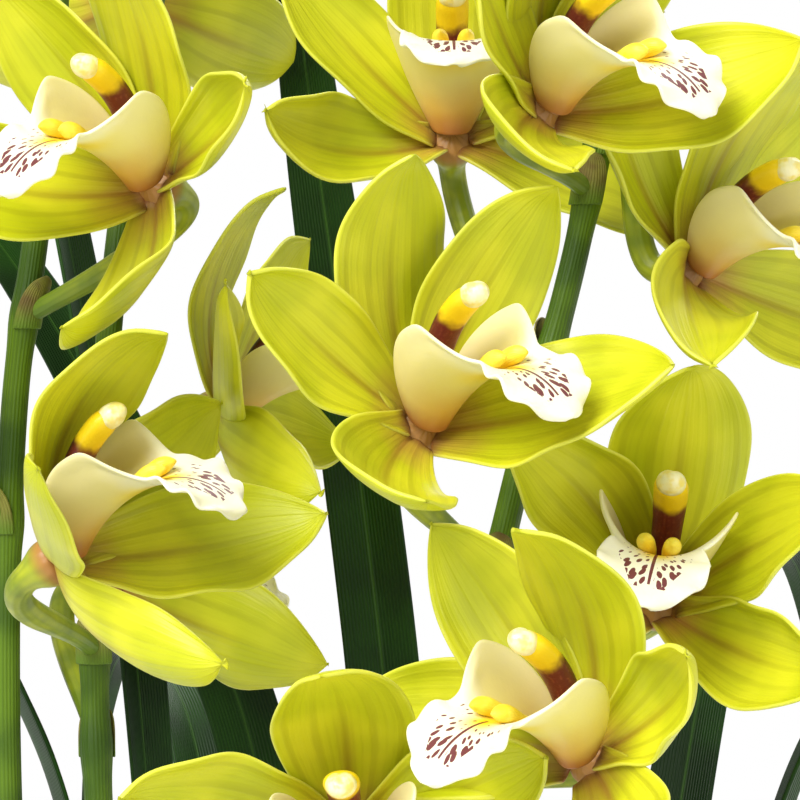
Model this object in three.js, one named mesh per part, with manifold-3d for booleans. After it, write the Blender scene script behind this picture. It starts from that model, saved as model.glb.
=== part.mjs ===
// A potted Cymbidium orchid in bloom: a plain tapered pot, potting bark, three pseudobulbs, ten strap
// leaves and three flower spikes with fourteen open flowers.
// Millimetres, +Z up, origin at the centre of the pot's underside. The flowers' show side faces -Y.
import * as THREE from 'three';
import { mergeVertices } from 'three/addons/utils/BufferGeometryUtils.js';
import Module from 'manifold-3d';

const wasm = await Module();
wasm.setup();

// ---- driving dimensions ----
const POT_TOP_DIAMETER = 200;
const POT_BASE_DIAMETER = 150;
const POT_HEIGHT = 190;
const POT_WALL = 5;
const POT_FLOOR = 6;
const RIM_HEIGHT = 24;
const RIM_LIP = 3;
const DRAIN_HOLES = 5;
const DRAIN_DIAMETER = 12;
const MEDIUM_DROP = 20; // the bark's surface below the pot's rim
const FIT_GAP = 0.3; // between pieces that touch

const BULB_DIAMETER = 46;
const BULB_HEIGHT = 78;
const BULB_SUNK = 0.2; // share of the bulb's height that its flat seat cuts off

const LEAF_WIDTH = 20;
const LEAF_THICKNESS = 1.8;
const LEAF_FOLD = 3.5; // how far the leaf's edges stand above its keel
const LEAF_NECK = 0.42; // the leaf's width at its foot, as a share of its full width
const LEAF_SPACING = 7; // between neighbouring leaves where they leave a bulb

const SCAPE_DIAMETER = 8;
const STRAIGHT_RISE = 14; // how far a scape or leaf stands straight up on its seat
const PEDICEL_DIAMETER = 5.6;
const BUD_LENGTH = 26;
const BUD_DIAMETER = 12;

const SEPAL_LENGTH = 64;
const SEPAL_WIDTH = 33;
const PETAL_LENGTH = 61;
const PETAL_WIDTH = 29;
const TEPAL_THICKNESS = 2;
const TEPAL_ROOT = 3; // from the flower's axis to where a tepal starts
const RECEPTACLE_DIAMETER = 10;
const COLUMN_LENGTH = 35;
const COLUMN_DIAMETER = 7;
const LIP_LENGTH = 50;
const LIP_WIDTH = 47; // across both side lobes, laid flat
const LIP_MIDLOBE_WIDTH = 27;
const LIP_WAIST_WIDTH = 22;
const LIP_THICKNESS = 1.6;

// The plant was laid out for these lengths; longer tepals space the flowers out in proportion.
const LAYOUT_SEPAL_LENGTH = 64;

// ---- worked out from them ----
const MEDIUM_TOP = POT_HEIGHT - MEDIUM_DROP;
const PLANT_SPACING = SEPAL_LENGTH / LAYOUT_SEPAL_LENGTH;

const GREEN_TEPAL = { color: 0xc9cc1c, roughness: 0.5 };
const CREAM_LIP = { color: 0xf0e8b0, roughness: 0.5 };
const MAROON_COLUMN = { color: 0x6e1f22, roughness: 0.45 };
const LEAF_GREEN = { color: 0x1f3a12, roughness: 0.4 };
const STEM_GREEN = { color: 0x5f7022, roughness: 0.5 };
const BULB_GREEN = { color: 0x5a6b2a, roughness: 0.6 };
const BARK_BROWN = { color: 0x5a3d26, roughness: 0.95 };
const POT_CLAY = { color: 0xd9d5cb, roughness: 0.6 };

// ---- the plan of the plant ----
// Where each bulb stands on the bark, and the plan direction, in degrees from +X, of its fan of leaves.
const BULBS = {
  right: { x: 36, y: 20, fan: 90 },
  left: { x: -30, y: 34, fan: 90 },
  front: { x: -16, y: -38, fan: 0 },
};

// A leaf leaves its bulb's top at a place in the fan, counted in leaf spacings from the bulb's axis, and
// runs through its points: across, back and up from the bark. Its width runs along the plan direction
// 'face', in degrees from +X.
const LEAVES = [
  { name: 'leaf_tall_centre', bulb: 'right', place: 0, face: 0,
    path: [[10, 72, 250], [-2, 84, 370], [-6, 86, 410], [-21, 88, 525], [-36, 96, 620], [-60, 112, 680]] },
  { name: 'leaf_right_arch', bulb: 'right', place: -1, face: 75,
    path: [[58, 20, 200], [80, 16, 320], [104, 12, 395], [150, 8, 440], [205, 2, 420], [245, -4, 360]] },
  { name: 'leaf_back_right', bulb: 'right', place: 1, face: -25,
    path: [[52, 66, 200], [74, 118, 330], [98, 168, 420], [122, 220, 420], [140, 258, 350]] },
  { name: 'leaf_left_arch', bulb: 'left', place: -1.6, face: 100,
    path: [[-56, 24, 200], [-74, 23, 300], [-92, 26, 385], [-140, 30, 450], [-196, 26, 450],
      [-236, 18, 390]] },
  { name: 'leaf_tall_left', bulb: 'left', place: -0.4, face: 60,
    path: [[-52, 68, 220], [-66, 82, 340], [-74, 88, 420], [-92, 96, 520], [-112, 106, 610],
      [-140, 118, 660]] },
  { name: 'leaf_centre_left', bulb: 'left', place: 0.6, face: 10,
    path: [[-26, 84, 230], [-34, 98, 330], [-42, 102, 380], [-68, 104, 440], [-112, 106, 515],
      [-170, 112, 570]] },
  { name: 'leaf_back_left', bulb: 'left', place: 1.5, face: 30,
    path: [[-34, 96, 190], [-48, 142, 300], [-66, 190, 380], [-88, 236, 390], [-104, 270, 320]] },
  { name: 'leaf_front_left', bulb: 'front', place: -1.4, face: 120,
    path: [[-58, -66, 180], [-98, -96, 268], [-140, -126, 290], [-184, -156, 240], [-208, -172, 170]] },
  { name: 'leaf_front_right', bulb: 'front', place: 1.4, face: 55,
    path: [[34, -72, 190], [78, -98, 272], [124, -124, 290], [168, -150, 235], [192, -166, 160]] },
  { name: 'leaf_front_short', bulb: 'front', place: 0, face: 10,
    path: [[-30, -74, 150], [-38, -108, 216], [-48, -146, 232], [-56, -180, 190]] },
];

// A spike's scape runs through its points: across, back and up from the bark.
const SPIKES = {
  spike_right: {
    path: [[4, -6, 0], [-2, -4, 150], [2, 0, 300], [12, 0, 375], [27, 0, 445], [43, 0, 507], [50, 0, 545],
      [56, 4, 620], [50, 10, 662]],
    buds: [{ turn: 200, rise: 630 }, { turn: 300, rise: 652 }],
  },
  spike_middle: {
    path: [[-48, -2, 0], [-58, 0, 160], [-68, 4, 290], [-74, 6, 375], [-75, 10, 420], [-72, 18, 490],
      [-62, 26, 570], [-48, 32, 640]],
    buds: [{ turn: 40, rise: 615 }, { turn: 150, rise: 632 }],
  },
  spike_left: {
    path: [[-66, -14, 0], [-80, -8, 160], [-92, 0, 300], [-96, 2, 400], [-94, 4, 470], [-88, 6, 520],
      [-84, 8, 590], [-92, 10, 650]],
    buds: [{ turn: 200, rise: 620 }, { turn: 330, rise: 642 }],
  },
};

// How a tepal of each kind usually stands. spread: round the flower's axis from its top, + to its
// right as a viewer sees it; open: between the flower's axis and the tepal where it starts; arch: how
// far it bends back towards the axis along its length; sway: how far it bends sideways; twist: how far
// it turns about its own midrib; cup: how far its edges close, half the arc of its section; wide: its
// width beside the usual one.
const USUAL = {
  dorsal: { spread: 0, open: 75, arch: 55, sway: 0, twist: 0, cup: 10, wide: 1 },
  petal_left: { spread: -52, open: 70, arch: 20, sway: 0, twist: 0, cup: 30, wide: 1 },
  petal_right: { spread: 52, open: 70, arch: 20, sway: 0, twist: 0, cup: 30, wide: 1 },
  sepal_left: { spread: -118, open: 72, arch: 45, sway: 0, twist: 0, cup: 30, wide: 1 },
  sepal_right: { spread: 118, open: 72, arch: 45, sway: 0, twist: 0, cup: 30, wide: 1 },
};

// Each flower: its spike and the rise at which its pedicel leaves the scape, its place (across, back,
// up from the bark), how it is turned (turn to its viewer's right, nod up, roll anticlockwise, in
// degrees), and the tepals that stand otherwise than usual.
const FLOWERS = [
  { name: 'centre', spike: 'spike_right', leaves: 428, at: [2, -62, 463], turn: 40, nod: 20, roll: 10,
    dorsal: { spread: -5, open: 85, twist: 15, cup: 0 },
    petal_left: { spread: -50, open: 85, twist: 30, cup: 35, wide: 0.95 },
    petal_right: { spread: 35, open: 65, arch: 30, cup: 5, wide: 1.05 },
    sepal_left: { spread: -110, open: 80, arch: 60, sway: -15, twist: -45 },
    sepal_right: { spread: 120, open: 38, arch: 35, twist: 30, wide: 1.15 } },
  { name: 'low_right', spike: 'spike_right', leaves: 372, at: [38, -78, 392], turn: -45, nod: 15, roll: -12,
    dorsal: { open: 78, arch: 70, twist: -10, cup: -10 },
    petal_left: { spread: -45, open: 70, arch: 5, sway: -10, twist: -20, cup: 30 },
    petal_right: { spread: 55, open: 85, arch: 50, twist: -20, cup: 60, wide: 0.9 },
    sepal_left: { spread: -96, open: 85, arch: 15, sway: -10, wide: 1.05 },
    sepal_right: { spread: 112, open: 80, arch: 60, sway: 15, twist: 45 } },
  { name: 'right', spike: 'spike_right', leaves: 400, at: [57, -20, 422], turn: -5, nod: 20, roll: -10,
    dorsal: { arch: 60, twist: -30, cup: -10, wide: 1.05 },
    petal_left: { spread: -40, open: 62, arch: 40, sway: -30, cup: 40 },
    petal_right: { spread: 55, open: 60, arch: 40, sway: 15, twist: 40, cup: 25 },
    sepal_right: { spread: 120, open: 70, sway: -10, twist: -45, cup: 60, wide: 0.9 } },
  { name: 'top_centre', spike: 'spike_right', leaves: 480, at: [9, 24, 535], turn: 0, nod: 35, roll: 0,
    petal_left: { spread: -65, open: 57, arch: 5, sway: 15 },
    petal_right: { spread: 60, open: 85, arch: 10 },
    sepal_left: { spread: -114, open: 85, arch: 65, twist: 40, cup: 60, wide: 0.9 },
    sepal_right: { spread: 108, open: 92, arch: -15 } },
  { name: 'top_right', spike: 'spike_right', leaves: 520, at: [31, -44, 536], turn: 45, nod: 12, roll: 15,
    petal_left: { spread: -45, arch: 10, sway: 15 },
    petal_right: { spread: 40, open: 65, arch: 25 },
    sepal_left: { spread: -95, open: 75, arch: 55, sway: -25, twist: -70, cup: 50 },
    sepal_right: { spread: 120, open: 45, arch: 45, sway: -15 } },
  { name: 'right_edge', spike: 'spike_right', leaves: 532, at: [68, -8, 501], turn: 50, nod: 5, roll: 5,
    dorsal: { spread: 5, cup: 0 },
    petal_left: { spread: -38, open: 100, arch: 30, sway: 20, twist: 30, cup: 60, wide: 0.9 },
    petal_right: { spread: 45, open: 75 },
    sepal_left: { spread: -105, open: 60, arch: 10, sway: -20, twist: -80, cup: 60, wide: 1.05 },
    sepal_right: { open: 75, arch: 30, cup: 25 } },
  { name: 'top_left', spike: 'spike_left', leaves: 490, at: [-61, -22, 521], turn: -40, nod: 12, roll: -10,
    dorsal: { open: 70, arch: 45, sway: 10, twist: 10, cup: 5 },
    petal_right: { spread: 60, open: 82, arch: 40, sway: 10, cup: 70, wide: 0.9 },
    petal_left: { spread: -45, open: 65, arch: 20 },
    sepal_left: { spread: -125, open: 50, arch: 55, sway: 15, cup: 25 },
    sepal_right: { spread: 148, open: 85, arch: 70, twist: -20 } },
  { name: 'left', spike: 'spike_middle', leaves: 408, at: [-79, -52, 433], turn: 65, nod: 30, roll: 15,
    dorsal: { spread: 5, open: 65, arch: 75, twist: 35, cup: 15 },
    petal_left: { spread: -75, open: 65, arch: 15, sway: 10, cup: 40 },
    petal_right: { spread: 80, open: 61, arch: 0, twist: -30, cup: 35, wide: 1.1 },
    sepal_left: { spread: -130, open: 85, arch: 65, sway: -15, twist: 45, cup: 70, wide: 0.85 },
    sepal_right: { spread: 125, open: 62, arch: 35 } },
  { name: 'behind_left', spike: 'spike_middle', leaves: 445, at: [-45, 25, 466], turn: 75, nod: 10, roll: 15,
    dorsal: { spread: -5, open: 95, arch: 70, twist: 15, cup: 0 },
    petal_left: { spread: -70, open: 75, arch: 15, sway: 45, twist: 15, cup: 60, wide: 0.95 },
    petal_right: { spread: 60, open: 80, arch: 10, cup: 25 },
    sepal_left: { spread: -100, open: 85, arch: 60, sway: -5, twist: 60, cup: 60, wide: 0.9 },
    sepal_right: { spread: 115, open: 90, arch: 20, twist: 25, cup: 50, wide: 0.9 } },
  { name: 'bottom', spike: 'spike_right', leaves: 340, at: [-15, -52, 368], turn: 0, nod: -5, roll: 5,
    dorsal: { spread: 5, sway: -10, twist: -10 },
    petal_left: { spread: -60, open: 65, arch: 15, sway: -10, twist: -10 },
    petal_right: { spread: 62, open: 70, arch: 30, cup: 35 } },
  { name: 'back_left', spike: 'spike_middle', leaves: 385, at: [-72, 52, 422], turn: 110, nod: 0, roll: 0,
    petal_left: { open: 60 },
    petal_right: { open: 60 },
    sepal_left: { spread: -112, open: 60, arch: 20 },
    sepal_right: { open: 55 } },
  { name: 'high_back', spike: 'spike_middle', leaves: 540, at: [-64, 38, 572], turn: 185, nod: 15, roll: 0,
    petal_left: { open: 60 } },
  { name: 'crown', spike: 'spike_right', leaves: 588, at: [22, -22, 622], turn: -20, nod: 25, roll: 5,
    sepal_left: { open: 60 },
    sepal_right: { open: 60 } },
  { name: 'far_left', spike: 'spike_left', leaves: 440, at: [-124, -14, 492], turn: -75, nod: 15, roll: -5,
    dorsal: { arch: 60 } },
];

// ---- geometry helpers ----
const FORWARD = new THREE.Vector3(0, -1, 0);
const UP = new THREE.Vector3(0, 0, 1);
const ACROSS = new THREE.Vector3(1, 0, 0);
const radians = THREE.MathUtils.degToRad;
const plantPoint = ([x, y, rise]) =>
  new THREE.Vector3(x * PLANT_SPACING, y * PLANT_SPACING, MEDIUM_TOP + FIT_GAP + rise * PLANT_SPACING);

// Vectors a and b weighted by the cosine and sine of an angle.
function between(a, b, angle) {
  return a.clone().multiplyScalar(Math.cos(angle)).addScaledVector(b, Math.sin(angle));
}

// A curve that stands straight up on its first point, then runs through the others.
function risingCurve(start, ...rest) {
  const above = start.clone().add(new THREE.Vector3(0, 0, STRAIGHT_RISE));
  return new THREE.CatmullRomCurve3([start, above, ...rest], false, 'centripetal');
}

// A BufferGeometry from points and triangles of indices.
function geometryFrom(points, triangles) {
  const positions = new Float32Array(points.flatMap((p) => [p.x, p.y, p.z]));
  const geometry = new THREE.BufferGeometry();
  geometry.setAttribute('position', new THREE.BufferAttribute(positions, 3));
  geometry.setIndex(triangles.flat());
  geometry.computeVertexNormals();
  return geometry;
}

// A closed body from rings of the same number of points, with a fan at each end.
function skinRings(rings) {
  const sides = rings[0].length;
  const points = rings.flat();
  const triangles = [];
  for (let r = 0; r + 1 < rings.length; r++) {
    for (let s = 0; s < sides; s++) {
      const a = r * sides + s;
      const b = r * sides + (s + 1) % sides;
      triangles.push([a, b, b + sides], [a, b + sides, a + sides]);
    }
  }
  const centre = (ring) => ring.reduce((sum, p) => sum.add(p), new THREE.Vector3()).divideScalar(sides);
  const last = (rings.length - 1) * sides;
  points.push(centre(rings[0]), centre(rings[rings.length - 1]));
  for (let s = 0; s < sides; s++) {
    const next = (s + 1) % sides;
    triangles.push([points.length - 2, next, s], [points.length - 1, last + s, last + next]);
  }
  return geometryFrom(points, triangles);
}

// A round stem along a curve; radius is a function of the share of its length.
function stem(curve, steps, sides, radius) {
  const frames = curve.computeFrenetFrames(steps, false);
  const rings = [];
  for (let i = 0; i <= steps; i++) {
    const centre = curve.getPointAt(i / steps);
    const ring = [];
    for (let s = 0; s < sides; s++) {
      const angle = (s / sides) * Math.PI * 2;
      const out = between(frames.normals[i], frames.binormals[i], angle);
      ring.push(centre.clone().addScaledVector(out, radius(i / steps)));
    }
    rings.push(ring);
  }
  return skinRings(rings);
}

// A thin curved sheet with a body: two grids of rows, thickest inside, that share their outline.
// Each row is a list of { point, normal } across the sheet.
function sheet(rows, thickness) {
  const across = rows[0].length;
  const points = [];
  const front = [];
  const back = [];
  rows.forEach((row, r) => {
    front.push([]);
    back.push([]);
    row.forEach(({ point, normal }, c) => {
      const edge = r === 0 || r === rows.length - 1 || c === 0 || c === across - 1;
      const half = edge ? 0 : thickness / 2;
      front[r].push(points.push(point.clone().addScaledVector(normal, half)) - 1);
      back[r].push(edge ? front[r][c] : points.push(point.clone().addScaledVector(normal, -half)) - 1);
    });
  });
  const triangles = [];
  for (let r = 0; r + 1 < rows.length; r++) {
    for (let c = 0; c + 1 < across; c++) {
      const [a, b, d, e] = [front[r][c], front[r][c + 1], front[r + 1][c], front[r + 1][c + 1]];
      triangles.push([a, b, e], [a, e, d]);
      const [p, q, s, t] = [back[r][c], back[r][c + 1], back[r + 1][c], back[r + 1][c + 1]];
      triangles.push([p, t, q], [p, s, t]);
    }
  }
  return geometryFrom(points, triangles);
}

function toSolid(geometry) {
  const bare = geometry.clone();
  bare.deleteAttribute('normal');
  bare.deleteAttribute('uv');
  const merged = mergeVertices(bare, 1e-4);
  return new wasm.Manifold(new wasm.Mesh({
    numProp: 3,
    vertProperties: merged.attributes.position.array,
    triVerts: new Uint32Array(merged.index.array),
  }));
}

function toGeometry(solid) {
  const mesh = solid.getMesh();
  const geometry = new THREE.BufferGeometry();
  geometry.setAttribute('position', new THREE.BufferAttribute(mesh.vertProperties, 3));
  geometry.setIndex(new THREE.BufferAttribute(mesh.triVerts, 1));
  geometry.computeVertexNormals();
  return geometry;
}

// Closed bodies joined to one, with any pocket that their crossing closes off filled.
function join(geometries) {
  const whole = geometries.map(toSolid).reduce((sum, next) => sum.add(next));
  const shells = whole.decompose().filter((shell) => shell.volume() > 0);
  return toGeometry(shells.reduce((sum, next) => sum.add(next)));
}

const orchid = new THREE.Group();
function place(name, geometry, finish) {
  const mesh = new THREE.Mesh(geometry, new THREE.MeshStandardMaterial({ metalness: 0, ...finish }));
  mesh.name = name;
  orchid.add(mesh);
  return mesh;
}

// ---- pot and bark ----
const POT_SIDES = 36;
// The pot's inner radius at a height: a straight taper, one wall thickness inside the outside.
function potRadius(z) {
  const taper = (POT_TOP_DIAMETER / 2 - RIM_LIP - POT_BASE_DIAMETER / 2) / POT_HEIGHT;
  return POT_BASE_DIAMETER / 2 + taper * z;
}

function makePot() {
  const rimBottom = POT_HEIGHT - RIM_HEIGHT;
  const profile = [
    [0, 0],
    [potRadius(0), 0],
    [potRadius(rimBottom), rimBottom],
    [potRadius(rimBottom) + RIM_LIP, rimBottom + RIM_LIP / 2],
    [POT_TOP_DIAMETER / 2, POT_HEIGHT],
    [potRadius(POT_HEIGHT) - POT_WALL, POT_HEIGHT],
    [potRadius(POT_FLOOR) - POT_WALL, POT_FLOOR],
    [0, POT_FLOOR],
  ].map(([r, z]) => new THREE.Vector2(r, z));
  let solid = toSolid(new THREE.LatheGeometry(profile, POT_SIDES).rotateX(Math.PI / 2));
  const ringRadius = POT_BASE_DIAMETER * 0.3;
  for (let i = 0; i < DRAIN_HOLES; i++) {
    const angle = (i / DRAIN_HOLES) * Math.PI * 2 + Math.PI / 2;
    const hole = new THREE.CylinderGeometry(DRAIN_DIAMETER / 2, DRAIN_DIAMETER / 2, POT_FLOOR * 3, 10);
    hole.rotateX(Math.PI / 2).translate(ringRadius * Math.cos(angle), ringRadius * Math.sin(angle), 0);
    solid = solid.subtract(toSolid(hole));
  }
  place('pot', toGeometry(solid), POT_CLAY);
}

function makeMedium() {
  const bottom = POT_FLOOR + FIT_GAP;
  // The faceted wall stands inside its own circle, so the bark is drawn in by the same share.
  const facet = Math.cos(Math.PI / POT_SIDES);
  const radiusAt = (z) => (potRadius(z) - POT_WALL) * facet - FIT_GAP;
  const profile = [
    [0, bottom],
    [radiusAt(bottom), bottom],
    [radiusAt(MEDIUM_TOP), MEDIUM_TOP],
    [0, MEDIUM_TOP],
  ].map(([r, z]) => new THREE.Vector2(r, z));
  place('bark_medium', new THREE.LatheGeometry(profile, POT_SIDES).rotateX(Math.PI / 2), BARK_BROWN);
}

// ---- bulbs and leaves ----
const bulbRadius = BULB_DIAMETER / 2;
const bulbHalf = BULB_HEIGHT / (2 * (1 - BULB_SUNK)); // the whole egg's half height
const bulbCentre = MEDIUM_TOP + FIT_GAP + BULB_HEIGHT - bulbHalf;

// The egg's outline as [radius, height], from its flat seat to its tip.
function bulbOutline() {
  const steps = 7;
  const low = -Math.asin((bulbCentre - MEDIUM_TOP - FIT_GAP) / bulbHalf);
  const outline = [];
  for (let i = 0; i < steps; i++) {
    const angle = low + (Math.PI / 2 - low) * (i / steps);
    outline.push([bulbRadius * Math.cos(angle), bulbCentre + bulbHalf * Math.sin(angle)]);
  }
  return [...outline, [0, bulbCentre + bulbHalf]];
}

function makeBulb(name, { x, y }) {
  const sides = 12;
  const profile = [[0, MEDIUM_TOP + FIT_GAP], ...bulbOutline()].map(([r, z]) => new THREE.Vector2(r, z));
  const geometry = new THREE.LatheGeometry(profile, sides).rotateX(Math.PI / 2);
  place(name, geometry.translate(x * PLANT_SPACING, y * PLANT_SPACING, 0), BULB_GREEN);
}

// The bulb's height at a distance from its axis, on its upper side.
function bulbHeightAt(reach) {
  const outline = bulbOutline();
  for (let i = outline.length - 1; i > 0; i--) {
    const [[r, z], [rOut, zOut]] = [outline[i], outline[i - 1]];
    if (reach <= rOut) return z + ((zOut - z) * (reach - r)) / (rOut - r);
  }
  return bulbCentre;
}

// The highest point of a bulb under a leaf's foot, which is a ring of corners around the bulb's axis.
function bulbTopUnder(corners) {
  const samples = 6;
  const heights = corners.flatMap((corner, i) => {
    const next = corners[(i + 1) % corners.length];
    return Array.from({ length: samples }, (_, s) => corner.clone().lerp(next, s / samples))
      .map((point) => bulbHeightAt(Math.hypot(point.x, point.y)));
  });
  return Math.max(...heights);
}

// The four corners of a leaf's section: two edges that stand 'rise' above its keel, and its two faces.
function leafSection(centre, side, up, half, rise, thick) {
  const corner = (s, h) => centre.clone().addScaledVector(side, s).addScaledVector(up, h);
  return [corner(-half, rise), corner(0, thick / 2), corner(half, rise), corner(0, -thick / 2)];
}

function makeLeaf({ name, bulb, place: order, face, path }) {
  const stand = BULBS[bulb];
  const wide = new THREE.Vector3(Math.cos(radians(face)), Math.sin(radians(face)), 0);
  const fan = new THREE.Vector3(Math.cos(radians(stand.fan)), Math.sin(radians(stand.fan)), 0);
  const foot = fan.multiplyScalar(order * LEAF_SPACING);
  const start = new THREE.Vector3(stand.x, stand.y, 0).multiplyScalar(PLANT_SPACING).add(foot);
  const footUp = wide.clone().cross(UP);
  const footHalf = (LEAF_WIDTH / 2) * LEAF_NECK;
  const footRise = LEAF_FOLD * LEAF_NECK;
  start.z = bulbTopUnder(leafSection(foot, wide, footUp, footHalf, footRise, LEAF_THICKNESS)) + FIT_GAP;
  const curve = risingCurve(start, ...path.map(plantPoint));
  const steps = 14;
  const rings = [];
  for (let i = 0; i <= steps; i++) {
    const u = i / steps;
    const along = curve.getTangentAt(u);
    const side = wide.clone().addScaledVector(along, -wide.dot(along)).normalize();
    const up = side.clone().cross(along);
    // The leaf widens from a narrow neck, keeps its width and tapers to a point.
    const neck = LEAF_NECK + (1 - LEAF_NECK) * Math.min(1, u / 0.3) ** 0.8;
    const taper = u < 0.55 ? 1 : Math.max(0.04, 1 - ((u - 0.55) / 0.45) ** 2.2);
    const half = (LEAF_WIDTH / 2) * neck * taper;
    const thick = LEAF_THICKNESS * (1.25 - 0.5 * u);
    rings.push(leafSection(curve.getPointAt(u), side, up, half, LEAF_FOLD * neck * taper, thick));
  }
  place(name, skinRings(rings), LEAF_GREEN);
}

// ---- flowers ----
// The share of a tepal's full width at a share u of its length.
function tepalWidth(u) {
  const widest = 0.52;
  if (u < widest) return 0.34 + 0.66 * Math.sin((u / widest) * Math.PI / 2) ** 1.15;
  return Math.max(0.02, 1 - ((u - widest) / (1 - widest)) ** 2.1) ** 0.62;
}

// Rows of points across one tepal, in the flower's own frame, which faces -Y.
function tepalRows(pose, length, width) {
  const alongSteps = 6;
  const acrossSteps = 2;
  const fine = 4; // steps that follow the curve within each row
  const radial = between(UP, ACROSS, radians(pose.spread));
  const side0 = between(ACROSS, UP.clone().negate(), radians(pose.spread));
  const point = radial.clone().multiplyScalar(TEPAL_ROOT);
  const half = (width / 2) * pose.wide;
  const rows = [];
  for (let i = 0; i <= alongSteps * fine; i++) {
    const u = i / (alongSteps * fine);
    const lean = radians(pose.open - pose.arch * u);
    const ahead0 = between(FORWARD, radial, lean);
    const normal0 = between(radial.clone().negate(), FORWARD, lean);
    const sway = radians(pose.sway * u);
    const ahead = between(ahead0, side0, sway);
    const side1 = between(side0, ahead0.clone().negate(), sway);
    const twist = radians(pose.twist * u);
    const side = between(side1, normal0, twist);
    const normal = between(normal0, side1.clone().negate(), twist);
    if (i > 0) point.addScaledVector(ahead, length / (alongSteps * fine));
    if (i % fine === 0) {
      const w = half * tepalWidth(u);
      const row = [];
      for (let c = 0; c <= acrossSteps; c++) {
        row.push(acrossArc(point, side, normal, w, radians(pose.cup), -1 + (2 * c) / acrossSteps));
      }
      rows.push(row);
    }
  }
  return rows;
}

// A point on a section that is an arc of half width w and half angle bend; v runs from -1 to 1.
function acrossArc(point, side, normal, w, bend, v) {
  const angle = bend * v;
  const flat = Math.abs(bend) < 1e-3;
  const out = flat ? w * v : (w * Math.sin(angle)) / bend;
  const up = flat ? 0 : (w * (1 - Math.cos(angle))) / bend;
  return {
    point: point.clone().addScaledVector(side, out).addScaledVector(normal, up),
    normal: normal.clone().multiplyScalar(Math.cos(angle)).addScaledVector(side, -Math.sin(angle)),
  };
}

const RECEPTACLE_BEHIND = 2; // the receptacle's centre behind the flower's origin
const PISTIL_SEAT = RECEPTACLE_DIAMETER / 2 - RECEPTACLE_BEHIND + FIT_GAP; // before the receptacle's face
const LIP_DROP = 4; // the lip's keel starts this far under the column's foot
const LIP_START = 34; // the keel's rise above the flower's axis, in degrees, at its start,
const LIP_WAIST = -12; // at the waist between the side lobes and the midlobe,
const LIP_END = -90; // and at the midlobe's tip
const COLUMN_START = 70; // the column's rise above the axis at its foot
const COLUMN_END = 4; // and at its tip

function makePerianth(flower) {
  const receptacle = new THREE.SphereGeometry(RECEPTACLE_DIAMETER / 2, 6, 4);
  const parts = [receptacle.translate(0, RECEPTACLE_BEHIND, 0)];
  for (const kind of Object.keys(USUAL)) {
    const pose = { ...USUAL[kind], ...flower[kind] };
    const petal = kind.startsWith('petal');
    const length = petal ? PETAL_LENGTH : SEPAL_LENGTH;
    const width = petal ? PETAL_WIDTH : SEPAL_WIDTH;
    parts.push(sheet(tepalRows(pose, length, width), TEPAL_THICKNESS));
  }
  return join(parts);
}

function makeColumn() {
  const steps = 5;
  const sides = 7;
  const points = [new THREE.Vector3(0, -PISTIL_SEAT - COLUMN_DIAMETER / 4, 1)];
  for (let i = 0; i < steps; i++) {
    const angle = radians(COLUMN_START + (COLUMN_END - COLUMN_START) * ((i + 0.5) / steps));
    points.push(points[i].clone().addScaledVector(between(FORWARD, UP, angle), COLUMN_LENGTH / steps));
  }
  const rings = points.map((centre, i) => {
    const angle = radians(COLUMN_START + (COLUMN_END - COLUMN_START) * (i / steps));
    const up = between(UP, FORWARD.clone().negate(), angle);
    const swell = [0.72, 0.86, 0.95, 1, 1, 0.62][i];
    const ring = [];
    for (let s = 0; s < sides; s++) {
      const out = between(ACROSS, up, (s / sides) * Math.PI * 2);
      ring.push(centre.clone().addScaledVector(out, (COLUMN_DIAMETER / 2) * swell));
    }
    return ring;
  });
  return skinRings(rings);
}

function makeLip() {
  const alongSteps = 8;
  const acrossSteps = 4;
  const waist = 0.55;
  const halfSpan = LIP_WIDTH / 2;
  const left = ACROSS.clone().negate();
  const point = new THREE.Vector3(0, -PISTIL_SEAT - COLUMN_DIAMETER / 4, 1 - LIP_DROP);
  const rows = [];
  for (let i = 0; i <= alongSteps; i++) {
    const u = i / alongSteps;
    const rise = u < waist
      ? LIP_START + (LIP_WAIST - LIP_START) * (u / waist)
      : LIP_WAIST + (LIP_END - LIP_WAIST) * ((u - waist) / (1 - waist));
    const ahead = between(FORWARD, UP, radians(rise));
    const normal = between(UP, FORWARD.clone().negate(), radians(rise));
    if (i > 0) point.addScaledVector(ahead, LIP_LENGTH / alongSteps);
    const { half, wrap } = lipSection(u, halfSpan);
    const row = [];
    for (let c = 0; c <= acrossSteps; c++) {
      row.push(acrossArc(point, left, normal, half, radians(wrap), -1 + (2 * c) / acrossSteps));
    }
    rows.push(row);
  }
  return sheet(rows, LIP_THICKNESS);
}

// Half the lip's width, laid flat, and how far it wraps up, at a share u of its length: a tube of two
// side lobes round the column, a waist, and a midlobe whose edges turn down.
function lipSection(u, halfSpan) {
  const base = 8;
  const waistHalf = LIP_WAIST_WIDTH / 2;
  if (u < 0.45) {
    return { half: base + (halfSpan - base) * Math.sin((u / 0.45) * Math.PI / 2), wrap: 110 - 45 * u };
  }
  if (u < 0.6) {
    const k = (u - 0.45) / 0.15;
    return { half: halfSpan - (halfSpan - waistHalf) * Math.sin(k * Math.PI / 2), wrap: 90 - 60 * k };
  }
  const k = (u - 0.6) / 0.4;
  const bulge = waistHalf + (LIP_MIDLOBE_WIDTH / 2 - waistHalf) * 2 * Math.sin(k * Math.PI);
  return { half: bulge * Math.sqrt(Math.max(0.03, 1 - k ** 2.5)), wrap: 30 - 50 * k };
}

// A flower's frame: local -Y is the way it faces.
function flowerMatrix({ at, turn, nod, roll }) {
  const matrix = new THREE.Matrix4().makeRotationZ(radians(turn));
  matrix.multiply(new THREE.Matrix4().makeRotationX(radians(-nod)));
  matrix.multiply(new THREE.Matrix4().makeRotationAxis(FORWARD, radians(roll)));
  return matrix.setPosition(plantPoint(at));
}

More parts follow.
